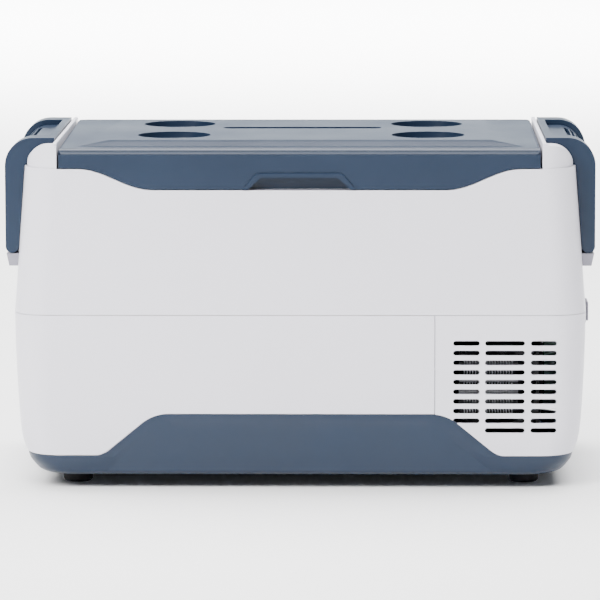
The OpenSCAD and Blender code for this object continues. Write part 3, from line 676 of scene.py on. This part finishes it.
# %% The upper shell
SHOULDER_X = 0.241  # the inner face of the shoulder beside the lid
WINDOW_HALF, WINDOW_RISE, WINDOW_DEEP = 44 * MM, 18 * MM, 10 * MM
upper = hollow(stack("upper_shell_moulding", [(SEAM_Z + SHUT, side_x(SEAM_Z + SHUT), HALF_D),
                                              (RIM_Z, TOP_HALF_W, HALF_D)], CORNER_R), WALL)
dip = outline("dip", front(skirt_outline(SKIRT_GAP, SHOULDER_X, FAR), -HALF_D - 5 * WALL),
              (0, 7 * WALL, 0))
panel_x = side_x(PANEL_Z)
window = lean(block("panel_window", (panel_x - WINDOW_DEEP, -WINDOW_HALF, PANEL_Z - WINDOW_RISE),
                    (panel_x + WINDOW_DEEP, WINDOW_HALF, PANEL_Z + WINDOW_RISE)))
cut(upper, dip, window)
soft_edges(upper, 1.0 * MM)
settle(upper, "body", "white_shell", WHITE, "upper_shell")

# %% [markdown]
# ## The base
#
# The blue base is a tray with softly rolled lower edges, and front and back it rises into a wide
# arch that fills the cut-out in the shells. Each arch carries a shallow sunk panel with sloping
# borders. The tray is made as a stacked form, cut along the same arch line with a thin shut gap,
# and hollowed with a smaller copy of itself. The sunk panels are then cut in front and back.

# %% The base tray's form
# millimetres below the tray's edge, and how far its sides and its front have come in there
BASE_STEPS = [(0, 12.2, 1), (6, 14.2, 1.2), (11.5, 18.2, 2.4), (16.5, 22.5, 4.5), (19.3, 28, 8),
              (20.3, 35, 13)]
TRAY_GAP = 0.4 * MM


def base_form(name, side_wall, front_wall, lift):
    """The tray's outer form, or with walls and a lift the space inside it."""
    levels = smooth_levels([(ARCH_LOW - drop * MM + lift, HALF_W - pull * MM - side_wall,
                             HALF_D - back * MM - front_wall) for drop, pull, back in BASE_STEPS], 3)
    levels.insert(0, (ARCH_TOP + 6 * MM, levels[0][1], levels[0][2]))
    return stack(name, levels, CORNER_R - side_wall)


def shifted_arch(drop):
    """The arch line lowered by a gap, and drawn in a little at its feet."""
    top = [(x, z - drop, r) for x, z, r in ARCH[1:3]]
    ends = [(-FAR, ARCH_LOW, 0), (-ARCH_FOOT + 0.4 * drop, ARCH_LOW, FOOT_BEND)]
    return filleted(ends + top + [(-x, z, r) for x, z, r in reversed(ends)], 12)


# %% The tray, hollowed and cut to the arch
tray = base_form("base_tray_moulding", 0, 0, 0)
above_arch = shifted_arch(TRAY_GAP) + [(FAR, FAR), (-FAR, FAR)]
cut(tray, outline("above_arch", front(above_arch, -FAR), (0, 2 * FAR, 0)),
    base_form("inside", WALL, 2.3 * WALL, WALL))
print("tray faces before the sunk panels:", len(tray.data.polygons))

# %% [markdown]
# The sunk panel runs down to where the base rolls under, so it has a border only above and on
# its two slanting sides. Its cutter is a wide outline at the surface that narrows to a smaller
# one at the panel's floor, which gives the border its slope.

# %% The outline of a sunk panel
BELOW = -10 * MM


def panel_line(inset, radius):
    """The arch line moved in, and run straight down past the bottom."""
    slope = (ARCH_TOP - ARCH_LOW) / (ARCH_FOOT - ARCH_SHOULDER)
    x_top, z_top = -ARCH_SHOULDER + 0.55 * inset, ARCH_TOP - inset
    x_low = x_top - (z_top - BELOW) / slope
    return filleted([(x_low, BELOW, 0), (x_top, z_top, radius), (-x_top, z_top, radius),
                     (-x_low, BELOW, 0)], 10)


# %% The sunk panels, front and back
SUNK_RIM, SUNK_FLOOR = panel_line(7 * MM, 40 * MM), panel_line(15 * MM, 34 * MM)
RIM_Y, SUNK_BY = HALF_D - 0.9 * MM, 3.1 * MM
for side in (-1, 1):
    sunk = outline("sunk_panel", front(SUNK_RIM, side * RIM_Y), (0, -side * SUNK_BY, 0))
    for vert in sunk.data.vertices:
        if abs(vert.co.y) < RIM_Y - SUNK_BY / 2:
            k = min(range(len(SUNK_RIM)), key=lambda n: abs(SUNK_RIM[n][0] - vert.co.x)
                    + abs(SUNK_RIM[n][1] - vert.co.z))
            vert.co.x, vert.co.z = SUNK_FLOOR[k]
    pick_faces(sunk, lambda c, n: abs(c.y) > RIM_Y - SUNK_BY / 5 and abs(n.y) > 0.9)
    bpy.ops.mesh.extrude_region_move(TRANSFORM_OT_translate={"value": (0, side * 5 * MM, 0)})
    clear()
    cut(tray, sunk)
soft_edges(tray, 1.0 * MM, 3, 14)
settle(tray, "body", "blue_shell", BLUE, "base_tray")

# %% [markdown]
# ## The lid
#
# The lid is a shallow blue moulding with a low crown, so that water runs off it. Four cup
# recesses and a short groove are sunk in the crown. At the front it hangs down as a skirt whose
# lower edge follows the dip in the shell, and the finger pull is a scoop in that skirt with a
# thin raised rim. The crown is a second solid laid on a thin plate, because it slopes at the
# front and at the ends but not at the back. Its creases are then rolled with a wide bevel.

# %% The plate, rising to the back
MID_Y = (LID_HIGH[1] - HALF_D) / 2
LID_HALF, LID_DEPTH = LID_HIGH[0], (LID_HIGH[1] + HALF_D) / 2
PLATE_RISE = 4 * MM
LID_TOP, LID_EDGE = LID_HIGH[2], LID_HIGH[2] - PLATE_RISE
LID_BOTTOM = RIM_Z + 0.8 * MM
lid = stack("lid_moulding", [(LID_BOTTOM, LID_HALF, LID_DEPTH), (LID_EDGE, LID_HALF, LID_DEPTH)],
            6 * MM, MID_Y, 6)
pick_points(lid, lambda p: p.z > LID_BOTTOM + 1 * MM)
bpy.ops.transform.rotate(value=-math.atan(PLATE_RISE / (2 * LID_DEPTH)), orient_axis="X",
                         center_override=(0, -HALF_D, LID_EDGE))
clear()
highest = max(v.co.z for v in lid.data.vertices)
print("lid plate rises to", round(highest, 4), "of", round(LID_TOP, 4))
pick_edges(lid, lambda a, b: min(a.z, b.z) > LID_EDGE - 1 * MM)
bevel_picked(3 * MM, 5)

# %% Its rolled front edge
roll = filleted([(-HALF_D, LID_BOTTOM - MM, 0), (HALF_D, LID_BOTTOM - MM, 0),
                 (HALF_D, LID_TOP + MM, 0), (-HALF_D, LID_EDGE, 9 * MM)], 12)
front_roll = outline("front_roll", [(-LID_HALF - MM, y, z) for y, z in roll],
                     (2 * LID_HALF + 2 * MM, 0, 0))
combine(lid, front_roll, "INTERSECT")

# %% The crown
CROWN_FOOT, CROWN_HALF = 0.214, 0.192
CROWN_FRONT, CROWN_BACK, FRONT_SLOPE = -0.130, 0.134, 26 * MM
crown = block("crown", (-CROWN_FOOT, CROWN_FRONT, LID_EDGE - 2 * MM),
              (CROWN_FOOT, CROWN_BACK, LID_TOP - 0.01 * MM))
pick_points(crown, lambda p: p.z > LID_EDGE)
bpy.ops.transform.resize(value=(CROWN_HALF / CROWN_FOOT, 1, 1), center_override=(0, 0, 0))
pick_points(crown, lambda p: p.z > LID_EDGE and p.y < 0)
bpy.ops.transform.translate(value=(0, FRONT_SLOPE, 0))
pick_points(crown, lambda p: p.z < LID_EDGE)
bpy.ops.transform.resize(value=(1.05, 1, 1), center_override=(0, 0, 0))
clear()
weld(lid, crown)
tidy_faces(lid)


def crown_crease(a, b):
    """An edge on top, inside the rolled outer edges."""
    return (min(a.z, b.z) > LID_EDGE - 0.1 * MM and max(abs(a.x), abs(b.x)) < CROWN_FOOT + 11 * MM
            and max(a.y, b.y) < CROWN_BACK - 4 * MM and min(a.y, b.y) > CROWN_FRONT - 10 * MM)


print("crown creases rolled:", pick_edges(lid, crown_crease))
bevel_picked(5 * MM, 5)

# %% The finger pull's shape
PULL_TOP, PULL_LOW = RIM_Z - 9 * MM, RIM_Z - 21 * MM
PULL_FOOT, PULL_HEAD, PULL_R = 52 * MM, 38 * MM, 4 * MM


def pull_shape(grow, low=PULL_LOW):
    """Trapezium of the finger pull, with rounded upper corners."""
    foot, head, top = PULL_FOOT + grow, PULL_HEAD + grow, PULL_TOP + grow
    return filleted([(-foot, low, 0), (foot, low, 0), (head, top, PULL_R + grow),
                     (-head, top, PULL_R + grow)], 5)


# %% Hollow underside, skirt and finger pull
LID_WALL = 2.5 * MM
skirt = outline("skirt", front(skirt_outline(0, LID_HALF - 0.6 * MM, LID_EDGE - 6 * MM), -HALF_D),
                (0, LID_WALL, 0))
scoop_back = outline("scoop_back", front(pull_shape(2 * MM), -HALF_D + 0.5 * MM), (0, 9.9 * MM, 0))
pull_rim = outline("pull_rim", front(pull_shape(4.5 * MM), -HALF_D - 1.3 * MM), (0, 2 * MM, 0))
pick_faces(pull_rim, lambda c, n: n.y < -0.9)
bpy.ops.mesh.inset(thickness=1.2 * MM)
bpy.ops.transform.translate(value=(0, -0.2 * MM, 0))
clear()
cut(lid, block("underside", (-LID_HALF + LID_WALL, -HALF_D + LID_WALL, LID_BOTTOM - 20 * MM),
               (LID_HALF - LID_WALL, LID_HIGH[1] - LID_WALL, LID_EDGE - LID_WALL)))
weld(lid, skirt, scoop_back, pull_rim)
scoop = outline("scoop", front(pull_shape(0, PULL_LOW - 1 * MM), -HALF_D - 4 * MM),
                (0, 13.3 * MM, 0))
cut(lid, scoop)
print("lid faces:", len(lid.data.polygons))

# %% Cup recesses
CUP_R, CUP_DEPTH, CUP_FLOOR = 37 * MM, 8 * MM, 2.5 * MM
CUP_X, CUP_FRONT_Y, CUP_BACK_Y = 0.129, -0.045, 0.081
for x in (-CUP_X, CUP_X):
    for y in (CUP_FRONT_Y, CUP_BACK_Y):
        floor_z = LID_TOP - CUP_DEPTH
        weld(lid, rod("cup_wall", CUP_R + CUP_FLOOR, (x, y, floor_z - CUP_FLOOR),
                      (x, y, LID_TOP - 1 * MM), 96))
        cup = rod("cup", CUP_R, (x, y, floor_z), (x, y, LID_TOP + 5 * MM), 96)
        pick_edges(cup, lambda a, b: max(a.z, b.z) < floor_z + 0.1 * MM)
        bevel_picked(2.5 * MM, 4)
        cut(lid, cup)
print("cup recesses:", 2 * CUP_R, "across and", CUP_DEPTH, "deep")

# %% The groove between them, and the soft edges
GROOVE_HALF, GROOVE_Y, GROOVE_W, GROOVE_DEPTH = 82 * MM, 0.0366, 18 * MM, 3.2 * MM
GROOVE_R = GROOVE_W / 2 - 0.2 * MM
groove = filleted([(x, y, GROOVE_R) for x, y in (
    (-GROOVE_HALF, GROOVE_Y - GROOVE_W / 2), (GROOVE_HALF, GROOVE_Y - GROOVE_W / 2),
    (GROOVE_HALF, GROOVE_Y + GROOVE_W / 2), (-GROOVE_HALF, GROOVE_Y + GROOVE_W / 2))], 8)
cut(lid, outline("groove", [(x, y, LID_TOP - GROOVE_DEPTH) for x, y in groove], (0, 0, 6 * MM)))
soft_edges(lid, 0.9 * MM, 3)
settle(lid, "lid", "blue_shell", BLUE, "lid_shell")

# %% [markdown]
# ## Shoulders
#
# A white bolster closes each end of the top, beside the lid. It is D-shaped in section, has
# nearly the same plan corner as the shell, and is cut down where the handle rests, so that the
# handle lies nearly flush. A thin upstand runs along its inner edge and catches the light. One
# is modelled, and its mirror image serves the other end.

# %% The section and the upstand
SHOULDER_X1, SHOULDER_TOP, SHOULDER_R = 0.2725, RIM_Z + 22 * MM, 21.5 * MM
STRIP_X, STRIP_Z = SHOULDER_X + 4 * MM, RIM_Z + 25 * MM
SHOULDER_Y = HALF_D - 0.4 * MM
seat = RIM_Z + 0.1 * MM
section = filleted([(SHOULDER_X, seat, 0), (SHOULDER_X1, seat, 0),
                    (SHOULDER_X1, SHOULDER_TOP, SHOULDER_R), (SHOULDER_X, SHOULDER_TOP, 0)], 16)
shoulder = outline("right_shoulder_moulding", front(section, -SHOULDER_Y), (0, 2 * SHOULDER_Y, 0))
strip = block("strip", (SHOULDER_X, -HALF_D + 4 * MM, seat), (STRIP_X, HALF_D - 4 * MM, STRIP_Z))
pick_edges(strip, lambda a, b: min(a.z, b.z) > STRIP_Z - 1 * MM)
bevel_picked(1.2 * MM, 3)
weld(shoulder, strip)

# %% The plan corners, the handle's pocket and the mirror image
POCKET_Z, POCKET_HALF, POCKET_R = RIM_Z + 15 * MM, 121.5 * MM, 21.6 * MM
corner = block("corner", (-SHOULDER_X1, -SHOULDER_Y, 0), (SHOULDER_X1, SHOULDER_Y, 2 * RIM_Z))
pick_edges(corner, lambda a, b: abs(a.z - b.z) > 0.1)
bevel_picked(33 * MM, 12)
combine(shoulder, corner, "INTERSECT")
low_z = seat + 0.2 * MM
over_pocket = filleted([(STRIP_X, FAR, 0), (STRIP_X, POCKET_Z, 3 * MM),
                        (SHOULDER_X1, POCKET_Z, POCKET_R), (SHOULDER_X1, low_z, 0),
                        (FAR, low_z, 0), (FAR, FAR, 0)], 14)
cut(shoulder, outline("over_pocket", front(over_pocket, -POCKET_HALF), (0, 2 * POCKET_HALF, 0)))
soft_edges(shoulder, 0.9 * MM, 3)
left_shoulder = mirrored(shoulder, "left_shoulder_moulding")
settle(shoulder, "body", "white_shell", WHITE, "right_shoulder")
settle(left_shoulder, "body", "white_shell", WHITE, "left_shoulder")

# %% [markdown]
# ## Carry handles
#
# Each handle is a saddle bent over the shoulder: two broad arms, a sunk grip panel between them,
# and an open space below the panel for the hand. Its section is drawn once as a line that
# follows the shoulder on the inside and the big bend on the outside, and pushed along the depth.
# The panel is sunk by cutting away the skin between the arms, and three slots along the bend
# give the fingers something to hold. The low ends turn on pins in the grey brackets.

# %% The section of the handle
H_X, H_TOP = span("right_handle")[1][0], span("right_handle")[1][2]
H_IN, H_HALF, H_R = 0.2456, 120 * MM, 28 * MM
PIVOT_X, PIVOT_Z, PIVOT_R = 0.2887, 0.2412, 6.6 * MM
GAP = 0.6 * MM
bend_x, bend_z = H_X - H_R, H_TOP - H_R  # the middle of the big bend
inside_line = filleted([(side_x(PIVOT_Z) + GAP, PIVOT_Z, 0), (side_x(seat) + GAP, seat + GAP, 3 * MM),
                        (SHOULDER_X1 - 0.8 * MM, seat + GAP, 0),
                        (SHOULDER_X1 + GAP, seat + 3 * MM, 0),
                        (SHOULDER_X1 + GAP, POCKET_Z + GAP, POCKET_R + GAP),
                        (H_IN, POCKET_Z + GAP, 0)], 10)
handle_line = (inside_line + [(H_IN, H_TOP)] + arc(bend_x, bend_z, H_R, 90, 0, 18)
               + [(H_X, PIVOT_Z)])
handle = outline("right_handle_moulding", front(handle_line, -H_HALF), (0, 2 * H_HALF, 0))
eye = rod("eye", PIVOT_R, (PIVOT_X, -H_HALF, PIVOT_Z), (PIVOT_X, H_HALF, PIVOT_Z), 64)
weld(handle, eye)
print("section points:", len(handle_line))

# %% The sunk panel and the opening for the hand
ARM_Y, SINK, PANEL_LOW = 90 * MM, 5.5 * MM, 0.300
CLEAR = 4 * MM  # how far a cutter stands out of the piece it cuts
skin_line = ([(H_IN + 7 * MM, H_TOP + CLEAR), (H_IN + 7 * MM, H_TOP - SINK)]
             + arc(bend_x, bend_z, H_R - SINK, 90, 0, 18)
             + [(H_X - SINK, PANEL_LOW - CLEAR), (H_X + CLEAR, PANEL_LOW - CLEAR),
                (H_X + CLEAR, H_TOP + CLEAR)])
panel_cut = outline("panel_cut", front(skin_line, -ARM_Y), (0, 2 * ARM_Y, 0))
HOLE_X0, HOLE_X1, HOLE_LOW = 0.25, 0.31, 0.22  # inside, outside and below the handle's skin
hand_hole = block("hand_hole", (HOLE_X0, -ARM_Y, HOLE_LOW), (HOLE_X1, ARM_Y, PANEL_LOW))
pick_edges(hand_hole, lambda a, b: abs(a.x - b.x) > 0.01 and min(a.z, b.z) > PANEL_LOW - 20 * MM)
bevel_picked(10 * MM, 6)
cut(handle, panel_cut, hand_hole)
print("handle faces:", len(handle.data.polygons))

# %% The grip slots and the pin hole
GRIP_HALF, GRIP_W = 60 * MM, 4.8 * MM
for degrees in (74, 57.5, 41):
    bar = block("grip_slot", (H_X - SINK - CLEAR, -GRIP_HALF, bend_z - GRIP_W / 2),
                (H_X + 2 * MM, GRIP_HALF, bend_z + GRIP_W / 2))
    pick_edges(bar, lambda a, b: abs(a.x - b.x) > 2 * MM)
    bevel_picked(1.8 * MM, 3)
    edit_all(bar)
    bpy.ops.transform.rotate(value=math.radians(degrees), orient_axis="Y",
                             center_override=(bend_x, 0, bend_z))
    clear()
    cut(handle, bar)
PIN_CAP = 3 * MM  # plastic left over each end of the hole
cut(handle, rod("pin_hole", 2.56 * MM, (PIVOT_X, -H_HALF + PIN_CAP, PIVOT_Z),
                (PIVOT_X, H_HALF - PIN_CAP, PIVOT_Z), 40))
soft_edges(handle, 1.1 * MM, 3)
left_handle = mirrored(handle, "left_handle_moulding")
settle(handle, "right_handle", "blue_shell", BLUE, "right_handle")
settle(left_handle, "left_handle", "blue_shell", BLUE, "left_handle")

# %% [markdown]
# ## Feet
#
# The feet are turned shapes: a short rubber cup with a rolled lower edge, screwed up through its
# middle. A half profile spun once round gives the whole foot.

# %% A spun piece


def spun(name, profile, x, y):
    """A half profile of (radius, z) points, spun round the upright axis at x, y."""
    clear()
    bpy.ops.mesh.primitive_circle_add(vertices=len(profile), fill_type="NOTHING")
    obj = name_it(name)
    for vert, (radius, z) in zip(obj.data.vertices, profile):
        vert.co = (x + radius, y, z)
    edit_all(obj)
    bpy.ops.mesh.spin(steps=48, angle=math.tau, center=(x, y, 0), axis=(0, 0, 1))
    bpy.ops.mesh.select_all(action="SELECT")
    bpy.ops.mesh.remove_doubles(threshold=0.000005)
    bpy.ops.mesh.normals_make_consistent(inside=False)
    clear()
    return obj


# %% The feet
FOOT_H = span("front_left_foot")[1][2]
foot_line = filleted([(0.0052, 0, 0.0008), (0.0128, 0, 0.0012), (0.0146, 0.002, 0.0015),
                      (0.015, FOOT_H, 0.0006), (0.0022, FOOT_H, 0), (0.0022, 0.008, 0),
                      (0.0052, 0.008, 0)], 3)
for name in ("front_left_foot", "front_right_foot", "rear_left_foot", "rear_right_foot"):
    low, high = span(name)
    foot = spun(name + "_moulding", foot_line, (low[0] + high[0]) / 2, (low[1] + high[1]) / 2)
    shade(foot, 35)
    settle(foot, "body", "rubber", RUBBER, name)

# %% [markdown]
# ## Brackets, panel, socket and the parts inside
#
# These keep the shape they have in the frame. What they need is an edge that catches the light,
# so each is copied from its CAD node, its flat pieces are joined, and its corners are rounded by
# about a millimetre or less. The copy stands for the node and takes its finish.

# %% Softened copies of the secondary parts


def soften(node, width, material, slot, segments=2):
    """A copy of a CAD node with its edges rounded, riding the node's own body."""
    source = NODES[node]
    twin = bpy.data.objects.new(node + "_part", source.data.copy())
    twin.data.name = twin.name
    bpy.context.scene.collection.objects.link(twin)
    soft_edges(twin, width, segments, 35)
    return settle(twin, source["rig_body"], slot, material, node)


# %% The brackets, the deck, the liners, the panel and the hinges
soften("left_handle_bracket", 0.7 * MM, GREY, "grey_plastic")
soften("right_handle_bracket", 0.7 * MM, GREY, "grey_plastic")
soften("top_deck", 0.5 * MM, WHITE, "white_shell")
soften("tub_liner", 1.5 * MM, LINER, "liner", 3)
soften("lid_liner", 1.2 * MM, LINER, "liner", 3)
soften("lid_gasket", 0.8 * MM, RUBBER, "rubber")
soften("control_bezel", 0.5 * MM, DARK, "dark_plastic")
soften("display_window", 0.3 * MM, WINDOW, "window")
soften("power_socket", 0.6 * MM, GREY, "grey_plastic")
soften("socket_cover", 0.6 * MM, GREY, "grey_plastic")
soften("interior_lamp", 1.0 * MM, LAMP, "lamp")
soften("hinge_brackets", 0.4 * MM, STEEL, "steel")
soften("lid_hinge_leaves", 0.4 * MM, STEEL, "steel")
soften("fan_frame", 0.5 * MM, DARK, "dark_plastic")
for name in ("power_button", "set_button", "up_button", "down_button"):
    soften(name, 0.6 * MM, GREY, "grey_plastic")

# %% [markdown]
# ## The wire basket
#
# A basket like this is bent from coated wire: three closed hoops of thick wire, and thinner
# wires welded inside them, each one bent into a U that runs down one side, across the floor and
# up the other. A bent wire is a line with a round section, so each is drawn as a curve through
# its corners, given a thickness, and turned into a mesh. The corners are arcs, as a bending jig
# leaves them.

# %% Bent wires


def bent_wire(name, points, radius, closed=False):
    """A curve through the points with a round section, made a mesh."""
    clear()
    line = bpy.data.curves.new(name, "CURVE")
    line.dimensions = "3D"
    line.bevel_depth = radius
    line.bevel_resolution = 2
    line.use_fill_caps = not closed
    spline = line.splines.new("POLY")
    spline.points.add(len(points) - 1)
    for knot, place in zip(spline.points, points):
        knot.co = (*place, 1)
    spline.use_cyclic_u = closed
    wire = bpy.data.objects.new(name, line)
    bpy.context.scene.collection.objects.link(wire)
    choose(wire)
    bpy.ops.object.convert(target="MESH")
    return bpy.context.object


# %% The run of the wires
HOOP_R, THIN_R, BEND_R, HOOP_BEND = 1.8 * MM, 1.2 * MM, 7 * MM, 10 * MM
basket_low, basket_high = span("wire_basket")
BX0, BY0, BZ0 = (c + HOOP_R for c in basket_low)
BX1, BY1, BZ1 = (c - HOOP_R for c in basket_high)
TOUCH = HOOP_R + THIN_R - 0.1 * MM
hoop_line = filleted([(x, y, HOOP_BEND) for x, y in (
    (BX0, BY0), (BX1, BY0), (BX1, BY1), (BX0, BY1))], 5)
wires = [bent_wire("hoop", [(x, y, z) for x, y in hoop_line], HOOP_R, closed=True)
         for z in (BZ0, (BZ0 + BZ1) / 2, BZ1)]


def u_line(low, high, lift=0.0):
    """Down one side, across the floor and up the other, in the plane of the bend."""
    floor_z, top = BZ0 + TOUCH + lift, BZ1 + 0.8 * MM
    return filleted([(low + TOUCH, top, 0), (low + TOUCH, floor_z, BEND_R),
                     (high - TOUCH, floor_z, BEND_R), (high - TOUCH, top, 0)], 4)


# %% Hoops and bent wires, joined
CROSS_GAPS, LONG_GAPS = 10, 7
for k in range(1, CROSS_GAPS):
    x = BX0 + k * (BX1 - BX0) / CROSS_GAPS
    wires.append(bent_wire("cross_wire", [(x, y, z) for y, z in u_line(BY0, BY1)], THIN_R))
long_line = u_line(BX0, BX1, 2 * THIN_R - 0.1 * MM)
for k in range(1, LONG_GAPS):
    y = BY0 + k * (BY1 - BY0) / LONG_GAPS
    wires.append(bent_wire("long_wire", [(x, y, z) for x, z in long_line], THIN_R))
print("wires:", len(wires))
basket = join_all(wires, "wire_basket_bent")
edit_all(basket)
bpy.ops.mesh.remove_doubles(threshold=0.00001)
bpy.ops.mesh.normals_make_consistent(inside=False)
clear()
shade(basket, 50)
settle(basket, "body", "wire", WIRE, "wire_basket")

# %% [markdown]
# ## The machinery
#
# Behind the slots sit a finned condenser, a fan and the compressor, and the board that runs
# them. Sheet metal, castings and boards have small rounded corners, so they get the same soft
# edges. The fins, tubes and screws are round or paper-thin already: they keep the frame's own
# mesh, and only their finish changes.

# %% Softened machinery, and finishes for the rest
for name, width, material, slot in (
        ("terminal_cover", 1.5 * MM, DARK, "dark_plastic"),
        ("compressor", 0.6 * MM, BLACK_STEEL, "black_steel"),
        ("compressor_plate", 0.4 * MM, STEEL, "steel"),
        ("compressor_mounts", 0.7 * MM, RUBBER, "rubber"),
        ("control_board", 0.2 * MM, BOARD, "board"),
        ("display_board", 0.2 * MM, BOARD, "board"),
        ("fan_rotor", 0.25 * MM, DARK, "dark_plastic"),
        ("filter_drier", 0.8 * MM, COPPER, "copper"),
        ("partition", 0.3 * MM, STEEL, "steel"),
        ("lid_foam", 1.5 * MM, FOAM, "foam"),
        ("tub_foam", 1.5 * MM, FOAM, "foam")):
    soften(name, width, material, slot)

KEPT = {"evaporator_sheet": ALUMINIUM, "evaporator_tube": COPPER, "refrigerant_pipes": COPPER,
        "condenser": FINS, "socket_pins": CONTACT, "left_handle_pins": STEEL,
        "right_handle_pins": STEEL, "hinge_pins": STEEL, "foot_screws": STEEL,
        "base_screws": STEEL, "hinge_screws": STEEL}
for name, material in KEPT.items():
    for place in NODES[name].material_slots:
        place.material = material
print("kept CAD meshes:", len(KEPT))


# %% [markdown]
# ## Floor, light and camera
#
# The stage is a plain pale sheet. A product shot like this wants a white ground and no dark
# reflections, so most of the light comes from large soft panels. One hangs flat over the object
# and makes the top faces glow, and a lower one washes the floor in front of it. A wide panel over
# the far floor and a cool one standing behind it keep the ground bright up to the horizon, where
# the lid's low crown mirrors it. A small key on the left lets the right-hand faces fall off a
# little. The camera stands about four metres away and slightly above the lid.

# %% The floor
clear()
bpy.ops.mesh.primitive_plane_add(size=24, location=(0, 6, 0))
floor = name_it("floor")
floor.data.materials.append(paint("floor_sheet", (0.92, 0.92, 0.92), rough=0.9, spread=0.02,
                                  drift=0.004, bump=0.0, specular=0.1))

# %% The lights


def lamp(name, place, aim, size, power, spread=180, colour=(1, 1, 1)):
    """A rectangular soft panel at a place, facing another; its spread is in degrees."""
    clear()
    turn = (Vector(aim) - Vector(place)).to_track_quat("-Z", "Y").to_euler()
    bpy.ops.object.light_add(type="AREA", location=place, rotation=turn)
    light = bpy.context.object
    light.name = light.data.name = name
    light.data.shape = "RECTANGLE"
    light.data.size, light.data.size_y = size
    light.data.energy = power
    light.data.spread = math.radians(spread)
    light.data.color = colour
    print(name, power, "W")


lamp("overhead", (-0.3, 1.4, 3.0), (-0.3, 1.4, 0), (5, 3.0), 460)
lamp("floor_wash", (-0.2, -2.4, 3.2), (-0.2, -1.0, 0), (4, 1.6), 76, 100)
lamp("backdrop", (0, 7.4, 3.4), (0, 7.4, 0), (10, 6), 2300, 100)
lamp("horizon", (0, 10.5, 1.0), (0, 0, 0.5), (14, 2.2), 310, colour=(0.82, 0.91, 1))
lamp("key_left", (-1.6, -1.8, 1.8), (-0.1, 0, 0.2), (1.2, 1.2), 100, colour=(1, 0.99, 0.98))
world = bpy.data.worlds.new("studio")
world.use_nodes = True
sky = world.node_tree.nodes["Background"]
sky.inputs["Color"].default_value = (0.96, 0.97, 1, 1)
sky.inputs["Strength"].default_value = 0.3
bpy.context.scene.world = world

# %% The camera
PLACE = Vector((0.0737, -4.205, 0.7247))
YAW, PITCH, ROLL = -0.01806, 0.13086, -0.00179
LENS = 246.42  # millimetres, on a sensor 36 mm wide
clear()
bpy.ops.object.camera_add(location=PLACE, rotation=(math.pi / 2 - PITCH, 0, -YAW))
camera = bpy.context.object
camera.name = "camera"
camera.rotation_euler.rotate_axis("Z", ROLL)
camera.data.lens = LENS
camera.data.clip_end = 100
bpy.context.scene.camera = camera
print("camera at", [round(c, 3) for c in PLACE], "lens", LENS, "mm")
